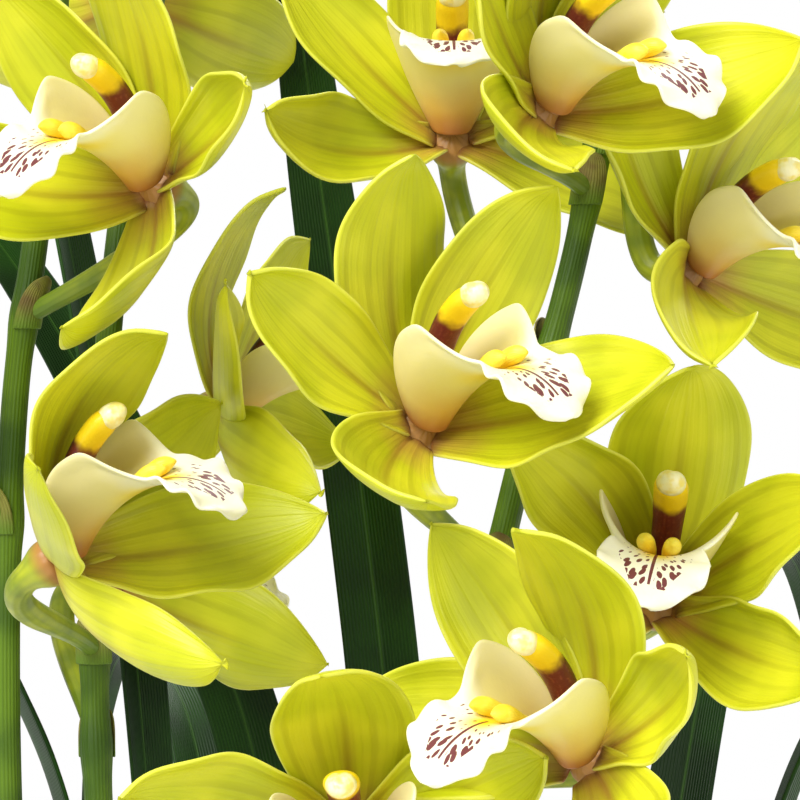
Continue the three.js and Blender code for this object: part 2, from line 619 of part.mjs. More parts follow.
function makeFlower(flower, column, lip) {
  const matrix = flowerMatrix(flower);
  const name = `flower_${flower.name}`;
  const pieces = [
    [`${name}_tepals`, makePerianth(flower), GREEN_TEPAL],
    [`${name}_lip`, lip, CREAM_LIP],
    [`${name}_column`, column, MAROON_COLUMN],
  ];
  for (const [pieceName, geometry, finish] of pieces) {
    const mesh = place(pieceName, geometry, finish);
    mesh.position.setFromMatrixPosition(matrix);
    mesh.quaternion.setFromRotationMatrix(matrix);
  }
}

// ---- spikes ----
// The share of the curve's length at which it reaches a height.
function shareAtHeight(curve, z) {
  let [low, high] = [0, 1];
  for (let i = 0; i < 30; i++) {
    const middle = (low + high) / 2;
    if (curve.getPointAt(middle).z < z) low = middle;
    else high = middle;
  }
  return low;
}

function makePedicel(scape, flower) {
  const matrix = flowerMatrix(flower);
  const origin = new THREE.Vector3().setFromMatrixPosition(matrix);
  const back = FORWARD.clone().negate().transformDirection(matrix);
  const end = origin.clone().addScaledVector(back, RECEPTACLE_BEHIND + RECEPTACLE_DIAMETER / 2 + FIT_GAP);
  const start = scape.getPointAt(shareAtHeight(scape, plantPoint([0, 0, flower.leaves]).z));
  const reach = start.distanceTo(end);
  const leave = end.clone().sub(start).setZ(0).normalize();
  const curve = new THREE.CubicBezierCurve3(
    start,
    start.clone().addScaledVector(leave, reach * 0.35).add(new THREE.Vector3(0, 0, reach * 0.15)),
    end.clone().addScaledVector(back, Math.min(18, reach * 0.4)),
    end,
  );
  return stem(curve, 5, 5, (u) => (PEDICEL_DIAMETER / 2) * (1 + 0.25 * Math.sin(u * Math.PI)));
}

function makeBud(scape, { turn, rise }) {
  const start = scape.getPointAt(shareAtHeight(scape, plantPoint([0, 0, rise]).z));
  const out = new THREE.Vector3(Math.cos(radians(turn)), Math.sin(radians(turn)), 0.9).normalize();
  const stalk = new THREE.LineCurve3(start, start.clone().addScaledVector(out, BUD_LENGTH));
  const bud = new THREE.SphereGeometry(BUD_DIAMETER / 2, 7, 5);
  bud.scale(1, BUD_LENGTH / BUD_DIAMETER, 1);
  bud.applyQuaternion(new THREE.Quaternion().setFromUnitVectors(new THREE.Vector3(0, 1, 0), out));
  const tip = start.clone().addScaledVector(out, BUD_LENGTH * 1.4);
  return join([stem(stalk, 1, 5, () => PEDICEL_DIAMETER / 2), bud.translate(tip.x, tip.y, tip.z)]);
}

function makeSpike(name, { path, buds }) {
  const scape = risingCurve(...path.map(plantPoint));
  const parts = [stem(scape, 22, 8, (u) => (SCAPE_DIAMETER / 2) * (1.12 - 0.4 * u))];
  for (const flower of FLOWERS) {
    if (flower.spike === name) parts.push(makePedicel(scape, flower));
  }
  for (const bud of buds) parts.push(makeBud(scape, bud));
  place(name, join(parts), STEM_GREEN);
}

// ---- the whole plant ----
makePot();
makeMedium();
for (const [side, stand] of Object.entries(BULBS)) makeBulb(`pseudobulb_${side}`, stand);
for (const leaf of LEAVES) makeLeaf(leaf);
for (const [name, spike] of Object.entries(SPIKES)) makeSpike(name, spike);
const column = makeColumn();
const lip = makeLip();
for (const flower of FLOWERS) makeFlower(flower, column, lip);

export default orchid;
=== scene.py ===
"""A potted green Cymbidium orchid in bloom, dressed piece by piece round its CAD frame."""
import logging
import math
import random
from dataclasses import dataclass, field, replace
from enum import Enum
from functools import partial
from typing import Callable

import bmesh
import bpy
from mathutils import Matrix, Vector


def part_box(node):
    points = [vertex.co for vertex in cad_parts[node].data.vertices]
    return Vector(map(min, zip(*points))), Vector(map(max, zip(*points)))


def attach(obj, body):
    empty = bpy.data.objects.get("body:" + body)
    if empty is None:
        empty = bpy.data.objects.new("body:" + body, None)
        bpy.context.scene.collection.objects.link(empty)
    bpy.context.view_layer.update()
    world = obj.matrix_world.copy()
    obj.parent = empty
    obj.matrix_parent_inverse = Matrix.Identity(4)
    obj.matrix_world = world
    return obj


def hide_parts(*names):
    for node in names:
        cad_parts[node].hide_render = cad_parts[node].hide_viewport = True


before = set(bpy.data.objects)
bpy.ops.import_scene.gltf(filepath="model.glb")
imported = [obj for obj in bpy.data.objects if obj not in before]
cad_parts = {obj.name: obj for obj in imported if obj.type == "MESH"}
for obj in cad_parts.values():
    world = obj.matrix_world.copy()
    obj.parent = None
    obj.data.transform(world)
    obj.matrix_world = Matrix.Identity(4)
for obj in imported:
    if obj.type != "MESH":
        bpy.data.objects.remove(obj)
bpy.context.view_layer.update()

log = logging.getLogger("orchid")

MM = 0.001
FORWARD = Vector((0, -1, 0))
ACROSS = Vector((1, 0, 0))
UP = Vector((0, 0, 1))

Point = tuple[float, float, float]


class Slot(Enum):
    """The record's material slots."""

    POT = "pot"
    BARK = "bark"
    BULB = "pseudobulb"
    LEAF = "leaf"
    STEM = "stem"
    TEPAL = "tepal"
    LIP = "lip"
    COLUMN = "column"


class Tepal(Enum):
    """The five tepals of a flower; the value says whether it is a petal."""

    DORSAL = ("dorsal", False)
    PETAL_LEFT = ("petal_left", True)
    PETAL_RIGHT = ("petal_right", True)
    SEPAL_LEFT = ("sepal_left", False)
    SEPAL_RIGHT = ("sepal_right", False)


@dataclass(frozen=True)
class Pose:
    """How a tepal stands, in degrees.

    spread goes round the flower's axis from its top, open is the angle between the axis and the
    tepal's root, arch bends it back along its length, sway bends it sideways, twist turns it about
    its midrib, cup is half the arc of its section, and wide scales its width.
    """

    spread: float
    open: float
    arch: float
    sway: float = 0
    twist: float = 0
    cup: float = 0
    wide: float = 1


USUAL = {
    Tepal.DORSAL: Pose(0, 75, 55, cup=10),
    Tepal.PETAL_LEFT: Pose(-52, 70, 20, cup=30),
    Tepal.PETAL_RIGHT: Pose(52, 70, 20, cup=30),
    Tepal.SEPAL_LEFT: Pose(-118, 72, 45, cup=30),
    Tepal.SEPAL_RIGHT: Pose(118, 72, 45, cup=30),
}

Changes = dict[str, float]


@dataclass(frozen=True)
class FlowerPlan:
    """A flower's name, spike, the rise where its stalk leaves the scape, its turn, nod and roll in
    degrees, and how each tepal differs from the usual."""

    name: str
    spike: str
    leaves: float
    turn: float
    nod: float
    roll: float
    dorsal: Changes = field(default_factory=dict)
    petal_left: Changes = field(default_factory=dict)
    petal_right: Changes = field(default_factory=dict)
    sepal_left: Changes = field(default_factory=dict)
    sepal_right: Changes = field(default_factory=dict)

    def pose(self, tepal: Tepal) -> Pose:
        """The tepal's usual pose with this flower's changes."""
        return replace(USUAL[tepal], **getattr(self, tepal.value[0]))


FLOWERS = [
    FlowerPlan("centre", "spike_right", 428, 40, 20, 10,
               dorsal=dict(spread=-5, open=85, twist=15, cup=0),
               petal_left=dict(spread=-50, open=85, twist=30, cup=35, wide=0.95),
               petal_right=dict(spread=35, open=65, arch=30, cup=5, wide=1.05),
               sepal_left=dict(spread=-110, open=80, arch=60, sway=-15, twist=-45),
               sepal_right=dict(spread=120, open=38, arch=35, twist=30, wide=1.15)),
    FlowerPlan("low_right", "spike_right", 372, -45, 15, -12,
               dorsal=dict(open=78, arch=70, twist=-10, cup=-10),
               petal_left=dict(spread=-45, open=70, arch=5, sway=-10, twist=-20, cup=30),
               petal_right=dict(spread=55, open=85, arch=50, twist=-20, cup=60, wide=0.9),
               sepal_left=dict(spread=-96, open=85, arch=15, sway=-10, wide=1.05),
               sepal_right=dict(spread=112, open=80, arch=60, sway=15, twist=45)),
    FlowerPlan("right", "spike_right", 400, -5, 20, -10,
               dorsal=dict(arch=60, twist=-30, cup=-10, wide=1.05),
               petal_left=dict(spread=-40, open=62, arch=40, sway=-30, cup=40),
               petal_right=dict(spread=55, open=60, arch=40, sway=15, twist=40, cup=25),
               sepal_right=dict(spread=120, open=70, sway=-10, twist=-45, cup=60, wide=0.9)),
    FlowerPlan("top_centre", "spike_right", 480, 0, 35, 0,
               petal_left=dict(spread=-65, open=57, arch=5, sway=15),
               petal_right=dict(spread=60, open=85, arch=10),
               sepal_left=dict(spread=-114, open=85, arch=65, twist=40, cup=60, wide=0.9),
               sepal_right=dict(spread=108, open=92, arch=-15)),
    FlowerPlan("top_right", "spike_right", 520, 45, 12, 15,
               petal_left=dict(spread=-45, arch=10, sway=15),
               petal_right=dict(spread=40, open=65, arch=25),
               sepal_left=dict(spread=-95, open=75, arch=55, sway=-25, twist=-70, cup=50),
               sepal_right=dict(spread=120, open=45, arch=45, sway=-15)),
    FlowerPlan("right_edge", "spike_right", 532, 50, 5, 5,
               dorsal=dict(spread=5, cup=0),
               petal_left=dict(spread=-38, open=100, arch=30, sway=20, twist=30, cup=60, wide=0.9),
               petal_right=dict(spread=45, open=75),
               sepal_left=dict(spread=-105, open=60, arch=10, sway=-20, twist=-80, cup=60, wide=1.05),
               sepal_right=dict(open=75, arch=30, cup=25)),
    FlowerPlan("top_left", "spike_left", 490, -40, 12, -10,
               dorsal=dict(open=70, arch=45, sway=10, twist=10, cup=5),
               petal_right=dict(spread=60, open=82, arch=40, sway=10, cup=70, wide=0.9),
               petal_left=dict(spread=-45, open=65, arch=20),
               sepal_left=dict(spread=-125, open=50, arch=55, sway=15, cup=25),
               sepal_right=dict(spread=148, open=85, arch=70, twist=-20)),
    FlowerPlan("left", "spike_middle", 408, 65, 30, 15,
               dorsal=dict(spread=5, open=65, arch=75, twist=35, cup=15),
               petal_left=dict(spread=-75, open=65, arch=15, sway=10, cup=40),
               petal_right=dict(spread=80, open=61, arch=0, twist=-30, cup=35, wide=1.1),
               sepal_left=dict(spread=-130, open=85, arch=65, sway=-15, twist=45, cup=70, wide=0.85),
               sepal_right=dict(spread=125, open=62, arch=35)),
    FlowerPlan("behind_left", "spike_middle", 445, 75, 10, 15,
               dorsal=dict(spread=-5, open=95, arch=70, twist=15, cup=0),
               petal_left=dict(spread=-70, open=75, arch=15, sway=45, twist=15, cup=60, wide=0.95),
               petal_right=dict(spread=60, open=80, arch=10, cup=25),
               sepal_left=dict(spread=-100, open=85, arch=60, sway=-5, twist=60, cup=60, wide=0.9),
               sepal_right=dict(spread=115, open=90, arch=20, twist=25, cup=50, wide=0.9)),
    FlowerPlan("bottom", "spike_right", 340, 0, -5, 5,
               dorsal=dict(spread=5, sway=-10, twist=-10),
               petal_left=dict(spread=-60, open=65, arch=15, sway=-10, twist=-10),
               petal_right=dict(spread=62, open=70, arch=30, cup=35)),
    FlowerPlan("back_left", "spike_middle", 385, 110, 0, 0,
               petal_left=dict(open=60), petal_right=dict(open=60),
               sepal_left=dict(spread=-112, open=60, arch=20), sepal_right=dict(open=55)),
    FlowerPlan("high_back", "spike_middle", 540, 185, 15, 0, petal_left=dict(open=60)),
    FlowerPlan("crown", "spike_right", 588, -20, 25, 5,
               sepal_left=dict(open=60), sepal_right=dict(open=60)),
    FlowerPlan("far_left", "spike_left", 440, -75, 15, -5, dorsal=dict(arch=60)),
]


@dataclass(frozen=True)
class BudPlan:
    """A bud's direction in plan, in degrees from +X, and the rise where its stalk leaves."""

    turn: float
    rise: float


@dataclass(frozen=True)
class SpikePlan:
    """A flower spike: its scape's route, across, back and up from the bark, and its buds."""

    name: str
    path: tuple[Point, ...]
    buds: tuple[BudPlan, ...]


SPIKES = [
    SpikePlan("spike_right",
              ((4, -6, 0), (-2, -4, 150), (2, 0, 300), (12, 0, 375), (27, 0, 445), (43, 0, 507),
               (50, 0, 545), (56, 4, 620), (50, 10, 662)),
              (BudPlan(200, 630), BudPlan(300, 652))),
    SpikePlan("spike_middle",
              ((-48, -2, 0), (-58, 0, 160), (-68, 4, 290), (-74, 6, 375), (-75, 10, 420),
               (-72, 18, 490), (-62, 26, 570), (-48, 32, 640)),
              (BudPlan(40, 615), BudPlan(150, 632))),
    SpikePlan("spike_left",
              ((-66, -14, 0), (-80, -8, 160), (-92, 0, 300), (-96, 2, 400), (-94, 4, 470),
               (-88, 6, 520), (-84, 8, 590), (-92, 10, 650)),
              (BudPlan(200, 620), BudPlan(330, 642))),
]


# The sheaths on the lower part of a scape: the rise of each one's foot, and its side in plan.
SHEATHS = ((18, 20), (78, 200), (146, 60), (222, 250))


@dataclass(frozen=True)
class LeafPlan:
    """A strap leaf: the bulb it leaves, its place in the bulb's fan, the plan direction of its
    width in degrees from +X, and its route across, back and up from the bark."""

    name: str
    bulb: str
    order: float
    face: float
    path: tuple[Point, ...]


LEAVES = [
    LeafPlan("leaf_tall_centre", "right", 0, 0,
             ((10, 72, 250), (-2, 84, 370), (-6, 86, 410), (-21, 88, 525), (-36, 96, 620),
              (-60, 112, 680))),
    LeafPlan("leaf_right_arch", "right", -1, 75,
             ((58, 20, 200), (80, 16, 320), (104, 12, 395), (150, 8, 440), (205, 2, 420),
              (245, -4, 360))),
    LeafPlan("leaf_back_right", "right", 1, -25,
             ((52, 66, 200), (74, 118, 330), (98, 168, 420), (122, 220, 420), (140, 258, 350))),
    LeafPlan("leaf_left_arch", "left", -1.6, 100,
             ((-56, 24, 200), (-74, 23, 300), (-92, 26, 385), (-140, 30, 450), (-196, 26, 450),
              (-236, 18, 390))),
    LeafPlan("leaf_tall_left", "left", -0.4, 60,
             ((-52, 68, 220), (-66, 82, 340), (-74, 88, 420), (-92, 96, 520), (-112, 106, 610),
              (-140, 118, 660))),
    LeafPlan("leaf_centre_left", "left", 0.6, 10,
             ((-26, 84, 230), (-34, 98, 330), (-42, 102, 380), (-68, 104, 440), (-112, 106, 515),
              (-170, 112, 570))),
    LeafPlan("leaf_back_left", "left", 1.5, 30,
             ((-34, 96, 190), (-48, 142, 300), (-66, 190, 380), (-88, 236, 390), (-104, 270, 320))),
    LeafPlan("leaf_front_left", "front", -1.4, 120,
             ((-58, -66, 180), (-98, -96, 268), (-140, -126, 290), (-184, -156, 240),
              (-208, -172, 170))),
    LeafPlan("leaf_front_right", "front", 1.4, 55,
             ((34, -72, 190), (78, -98, 272), (124, -124, 290), (168, -150, 235),
              (192, -166, 160))),
    LeafPlan("leaf_front_short", "front", 0, 10,
             ((-30, -74, 150), (-38, -108, 216), (-48, -146, 232), (-56, -180, 190))),
]

# The plan direction, in degrees from +X, of each bulb's fan of leaves.
FANS = {"right": 90, "left": 90, "front": 0}

BARK_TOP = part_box("bark_medium")[1].z / MM
FIT_GAP = 0.3


def plant_point(point: Point) -> Vector:
    """A point given across, back and up from the bark, in the frame's millimetres."""
    return Vector(point) + UP * (BARK_TOP + FIT_GAP)


def between(first: Vector, second: Vector, degrees: float) -> Vector:
    """The direction that an angle turns from the first vector towards the second."""
    angle = math.radians(degrees)
    return first * math.cos(angle) + second * math.sin(angle)


def in_plan(degrees: float) -> Vector:
    """The level direction at an angle from +X."""
    return between(ACROSS, -FORWARD, degrees)


def ramp(value: float, low: float, high: float) -> float:
    """A smooth step from 0 at low to 1 at high."""
    share = min(1.0, max(0.0, (value - low) / (high - low)))
    return share * share * (3 - 2 * share)


def smooth_path(points: list[Vector], count: int) -> list[Vector]:
    """Evenly spaced points along a centripetal Catmull-Rom curve.

    Args:
        points: The points that the curve runs through.
        count: How many steps the result has.

    Returns:
        count + 1 points from the first to the last.
    """
    fine = 24
    ends = [points[0] * 2 - points[1], *points, points[-1] * 2 - points[-2]]
    dense = [points[0]]
    for p0, p1, p2, p3 in zip(ends, ends[1:], ends[2:], ends[3:]):
        d0, d1, d2 = ((b - a).length ** 0.5 for a, b in ((p0, p1), (p1, p2), (p2, p3)))
        leave = ((p1 - p0) / d0 - (p2 - p0) / (d0 + d1) + (p2 - p1) / d1) * d1
        arrive = ((p2 - p1) / d1 - (p3 - p1) / (d1 + d2) + (p3 - p2) / d2) * d1
        for step in range(1, fine + 1):
            t = step / fine
            dense.append(p1 * (2 * t**3 - 3 * t**2 + 1) + leave * (t**3 - 2 * t**2 + t)
                         + p2 * (3 * t**2 - 2 * t**3) + arrive * (t**3 - t**2))
    return even_path(dense, count)


def even_path(dense: list[Vector], count: int) -> list[Vector]:
    """The same line with count even steps.

    Args:
        dense: Close points along the line.
        count: How many steps the result has.

    Returns:
        count + 1 points from the first to the last.
    """
    lengths = [0.0]
    for a, b in zip(dense, dense[1:]):
        lengths.append(lengths[-1] + (b - a).length)
    result, at = [], 0
    for step in range(count + 1):
        goal = lengths[-1] * step / count
        while at < len(dense) - 2 and lengths[at + 1] < goal:
            at += 1
        span = lengths[at + 1] - lengths[at]
        result.append(dense[at].lerp(dense[at + 1], (goal - lengths[at]) / span))
    return result


def directions(path: list[Vector]) -> list[Vector]:
    """The unit direction of a path at each of its points."""
    last = len(path) - 1
    return [(path[min(i + 1, last)] - path[max(i - 1, 0)]).normalized() for i in range(last + 1)]


def at_height(path: list[Vector], height: float) -> Vector:
    """Where a rising path reaches a height.

    Args:
        path: The points of the path, from its foot.
        height: The height.

    Returns:
        The point, or the path's end where it stays lower.
    """
    for a, b in zip(path, path[1:]):
        if b.z >= height:
            return a.lerp(b, (height - a.z) / (b.z - a.z))
    return path[-1]


# ---- mesh helpers ----
def new_mesh() -> bmesh.types.BMesh:
    """An empty bmesh with a UV map.

    Returns:
        The bmesh.
    """
    mesh = bmesh.new()
    mesh.loops.layers.uv.new("UVMap")
    return mesh


def add_sheet(mesh: bmesh.types.BMesh, along: int, across: int,
              shape: Callable[[int, float, float], Vector]) -> list[bmesh.types.BMVert]:
    """Adds a grid and bends it to a shape.

    Args:
        mesh: Where the sheet goes.
        along: Steps along the sheet, the UV map's V.
        across: Steps across it, the UV map's U.
        shape: The place of a point from its row, its share u along and v across, from -1 to 1.

    Returns:
        The new vertices.
    """
    made = bmesh.ops.create_grid(mesh, x_segments=across, y_segments=along, size=1, calc_uvs=True)
    for vert in made["verts"]:
        u = (vert.co.y + 1) / 2
        vert.co = shape(round(u * along), u, vert.co.x)
    return made["verts"]


def add_tube(mesh: bmesh.types.BMesh, path: list[Vector], sides: int,
             radius: Callable[[float, float], float], first_out: Vector = ACROSS) -> None:
    """Adds a closed stem along a path.

    Args:
        mesh: Where the tube goes.
        path: The points of its centre line.
        sides: Steps round it.
        radius: The radius from the share u along and the angle round it in degrees.
        first_out: Roughly the direction of angle 0 at the start.
    """
    ahead = directions(path)
    out = (first_out - ahead[0] * first_out.dot(ahead[0])).normalized()
    frames = []
    for point, way in zip(path, ahead):
        out = (out - way * out.dot(way)).normalized()
        frames.append((point, out, way.cross(out)))
    last = len(path) - 1

    def shape(row: int, _u: float, v: float) -> Vector:
        """The place of a point of the skin; the first and last rows close the ends.

        Args:
            row: The step along.
            _u: The share of the way along.
            v: The place across, from -1 to 1.

        Returns:
            The point.
        """
        step = min(max(row - 1, 0), last)
        point, side, back = frames[step]
        degrees = 180 * (v + 1)
        reach = 0 if row in (0, last + 2) else radius(step / last, degrees)
        return point + between(side, back, degrees) * reach

    verts = add_sheet(mesh, last + 2, sides, shape)
    bmesh.ops.remove_doubles(mesh, verts=verts, dist=1e-4)


def finish_piece(name: str, mesh: bmesh.types.BMesh, slot: Slot, finish: bpy.types.Material,
                 nodes: tuple[str, ...] = (), thickness: float = 0, rounds: int = 1,
                 place: Matrix | None = None) -> bpy.types.Object:
    """Makes a piece from a bmesh in millimetres.

    Args:
        name: The piece's name.
        mesh: Its shape, which is freed.
        slot: The record's slot; not used.
        finish: Its material.
        nodes: The CAD nodes that it stands for.
        thickness: The body that an open sheet gets, in millimetres.
        rounds: Levels of subdivision.
        place: Where the shape goes, in millimetres.

    Returns:
        The piece, at the origin, with its place in its mesh.
    """
    mesh.transform(Matrix.Scale(MM, 4) @ (place or Matrix.Identity(4)))
    data = bpy.data.meshes.new(name)
    mesh.to_mesh(data)
    mesh.free()
    data.shade_smooth()
    data.materials.append(finish)
    piece = bpy.data.objects.new(name, data)
    bpy.context.scene.collection.objects.link(piece)
    if thickness:
        body = piece.modifiers.new("Body", "SOLIDIFY")
        body.thickness = thickness * MM
        body.offset = 0
    if rounds:
        smooth = piece.modifiers.new("Rounding", "SUBSURF")
        smooth.levels = smooth.render_levels = rounds
    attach(piece, "root")
    if nodes:
        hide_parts(*nodes)
    log.info("%s: %d faces before rounding", name, len(data.polygons))
    return piece


# ---- finishes ----
Socket = bpy.types.NodeSocket
# A wave texture of scale 1 has this many lines to a unit.
LINES_PER_UNIT = 20 / math.tau


def srgb(colour: str) -> tuple[float, float, float, float]:
    """A hex colour as linear red, green, blue and alpha.

    Args:
        colour: The colour, as # and six digits.

    Returns:
        The four shares.
    """
    parts = [int(colour[i:i + 2], 16) / 255 for i in (1, 3, 5)]
    linear = [c / 12.92 if c <= 0.04045 else ((c + 0.055) / 1.055) ** 2.4 for c in parts]
    return (*linear, 1.0)


def scale_of(size_mm: float) -> float:
    """The scale of a texture whose features have a real size."""
    return 1 / (size_mm * MM)


@dataclass(frozen=True)
class NodeKind:
    """A node's type, the inputs that its values go to in turn, its output and its settings."""

    type: str
    takes: tuple[int | str, ...] = (0, 1)
    gives: int | str = 0
    settings: tuple[tuple[str, str], ...] = ()


class Node(Enum):
    """The kinds of node in the finishes and in the surround."""

    TIMES = NodeKind("ShaderNodeMath", settings=(("operation", "MULTIPLY"),))
    PLUS = NodeKind("ShaderNodeMath", settings=(("operation", "ADD"),))
    MINUS = NodeKind("ShaderNodeMath", settings=(("operation", "SUBTRACT"),))
    SIZE = NodeKind("ShaderNodeMath", settings=(("operation", "ABSOLUTE"),))
    ABOVE = NodeKind("ShaderNodeMath", settings=(("operation", "GREATER_THAN"),))
    BELOW = NodeKind("ShaderNodeMath", settings=(("operation", "LESS_THAN"),))
    LARGER = NodeKind("ShaderNodeMath", settings=(("operation", "MAXIMUM"),))
    BLEND = NodeKind("ShaderNodeMix", (0, 6, 7), 2, (("data_type", "RGBA"),))
    STEP = NodeKind("ShaderNodeMapRange", ("Value", "From Min", "From Max", "To Min", "To Max"),
                    "Result", (("interpolation_type", "SMOOTHSTEP"),))
    CLOUD = NodeKind("ShaderNodeTexNoise", ("Vector", "Scale", "Detail"))
    LINES = NodeKind("ShaderNodeTexWave", ("Vector", "Scale", "Distortion", "Detail", "Detail Scale"),
                     "Fac", (("wave_type", "BANDS"), ("bands_direction", "X")))
    DOTS = NodeKind("ShaderNodeTexVoronoi", ("Vector", "Scale", "Randomness"), "Distance",
                    (("voronoi_dimensions", "2D"), ("feature", "F1")))
    STRETCH = NodeKind("ShaderNodeMapping", ("Vector", "Scale"))
    JOIN = NodeKind("ShaderNodeCombineXYZ")
    SPLIT = NodeKind("ShaderNodeSeparateXYZ")
    PLACE = NodeKind("ShaderNodeTexCoord")
    RELIEF = NodeKind("ShaderNodeBump", ("Height", "Distance", "Strength"))
    BACKGROUND = NodeKind("ShaderNodeBackground", ("Color", "Strength"))
    RAY = NodeKind("ShaderNodeLightPath")
    EITHER = NodeKind("ShaderNodeMixShader", (0, 1, 2))


def add_node(tree: bpy.types.NodeTree, kind: Node, *values: Socket | str | float | Point,
             gives: int | str | None = None) -> Socket:
    """Adds a node with its settings, and links or fills its inputs.

    Args:
        tree: Where the node goes.
        kind: Its kind.
        values: A socket to link, a hex colour or a plain value for each input in turn.
        gives: The output that is wanted, where it isn't the kind's usual one.

    Returns:
        The output.
    """
    plan = kind.value
    node = tree.nodes.new(plan.type)
    for name, setting in plan.settings:
        setattr(node, name, setting)
    for key, value in zip(plan.takes, values):
        if isinstance(value, Socket):
            tree.links.new(value, node.inputs[key])
        else:
            node.inputs[key].default_value = srgb(value) if isinstance(value, str) else value
    return node.outputs[plan.gives if gives is None else gives]


class Pattern:
    """A material's nodes, and the places on the piece that they hang on."""

    def __init__(self, tree: bpy.types.NodeTree) -> None:
        """Makes the places.

        Args:
            tree: The material's nodes.
        """
        self.add = partial(add_node, tree)
        self.spot = self.add(Node.PLACE, gives="Object")
        self.sheet = self.add(Node.PLACE, gives="UV")
        self.u = self.add(Node.SPLIT, self.sheet)
        self.v = self.add(Node.SPLIT, self.sheet, gives=1)
        from_middle = self.add(Node.SIZE, self.add(Node.MINUS, self.u, 0.5))
        # 0 along the midline and 1 at both margins.
        self.across = self.add(Node.TIMES, from_middle, 2.0)


@dataclass(frozen=True)
class Finish:
    """A living or made surface; each kind adds its colour and relief in paint()."""

    name: str
    roughness: float = 0.45
    specular: float = 0.4
    subsurface: float = 0.0
    depth_mm: float = 2.0
    relief_mm: float = 0.1

    def make(self) -> bpy.types.Material:
        """The material, with its colour and relief from the pattern.

        Returns:
            The material.
        """
        material = bpy.data.materials.new(self.name)
        material.use_nodes = True
        tree = material.node_tree
        shader = tree.nodes["Principled BSDF"]
        colour, height = self.paint(Pattern(tree))
        relief = add_node(tree, Node.RELIEF, height, self.relief_mm * MM, 1.0)
        tree.links.new(colour, shader.inputs["Base Color"])
        tree.links.new(relief, shader.inputs["Normal"])
        shader.inputs["Roughness"].default_value = self.roughness
        shader.inputs["Specular IOR Level"].default_value = self.specular
        if self.subsurface:
            shader.inputs["Subsurface Weight"].default_value = self.subsurface
            shader.inputs["Subsurface Radius"].default_value = (1.0, 1.0, 0.3)
            shader.inputs["Subsurface Scale"].default_value = self.depth_mm * MM
        return material

    def paint(self, on: Pattern) -> tuple[Socket, Socket]:
        """Adds the surface's own pattern.

        Args:
            on: The material's nodes.

        Returns:
            The colour and the height.
        """
        raise NotImplementedError


@dataclass(frozen=True)
class WaxyTepal(Finish):
    """Waxy petal tissue: clear yellow-green that glows, veined, with painted tan and brown shade towards its
    root.
    """

    fresh: str = "#CFCE22"
    deep: str = "#B9BE14"
    vein: str = "#8E8C08"
    midrib: str = "#9C7C20"
    # The next two colours are painted shade: tan towards the root, and dark brown at the very root where the
    # tepals meet.
    root: str = "#A8703A"
    painted_root_shade: str = "#7E4A2C"
    margin: str = "#E6E56A"
    fine_veins: float = 17
    main_veins: float = 5

    def paint(self, on: Pattern) -> tuple[Socket, Socket]:
        """Clouded green, veins, a midrib, painted shade at the root and pale margins.

        Args:
            on: The material's nodes.

        Returns:
            The colour and the height.
        """
        add, v, across = on.add, on.v, on.across
        clouds = add(Node.STEP, add(Node.CLOUD, on.spot, scale_of(24)), 0.35, 0.65)
        colour = add(Node.BLEND, clouds, self.fresh, self.deep)
        fine = add(Node.LINES, on.sheet, self.fine_veins / LINES_PER_UNIT, 1.2, 2.0, 1.5)
        fine = add(Node.STEP, fine, 0.45, 0.95)
        patches = add(Node.STEP, add(Node.CLOUD, on.spot, scale_of(12)), 0.4, 0.62, 0.0, 0.1)
        colour = add(Node.BLEND, add(Node.TIMES, fine, patches), colour, self.vein)
        main = add(Node.LINES, on.sheet, self.main_veins / LINES_PER_UNIT, 0.8, 2.0, 1.5)
        main = add(Node.STEP, main, 0.72, 1.0)
        fading = add(Node.STEP, v, 0.35, 0.95, 0.3, 0.04)
        colour = add(Node.BLEND, add(Node.TIMES, main, fading), colour, self.vein)
        midrib = add(Node.TIMES, add(Node.STEP, across, 0.0, 0.2, 1.0, 0.0),
                     add(Node.STEP, v, 0.15, 0.7, 0.6, 0.0))
        colour = add(Node.BLEND, midrib, colour, self.midrib)
        # Painted shade: tan towards the root, strongest along the middle.
        uneven = add(Node.TIMES, add(Node.CLOUD, on.spot, scale_of(7)), 0.12)
        ragged = add(Node.PLUS, v, uneven)
        root = add(Node.TIMES, add(Node.STEP, ragged, 0.08, 0.34, 0.75, 0.0),
                   add(Node.STEP, across, 0.35, 1.0, 1.0, 0.35))
        colour = add(Node.BLEND, root, colour, self.root)
        # Painted shade: dark brown at the very root, where the tepals meet.
        colour = add(Node.BLEND, add(Node.STEP, v, 0.0, 0.07, 0.9, 0.0), colour, self.painted_root_shade)
        colour = add(Node.BLEND, add(Node.STEP, across, 0.95, 1.0, 0.0, 0.45), colour, self.margin)
        grain = add(Node.TIMES, add(Node.CLOUD, on.spot, scale_of(0.9), 1.0), 0.25)
        ribs = add(Node.PLUS, add(Node.TIMES, main, 0.5), add(Node.TIMES, fine, 0.25))
        return colour, add(Node.PLUS, ribs, grain)


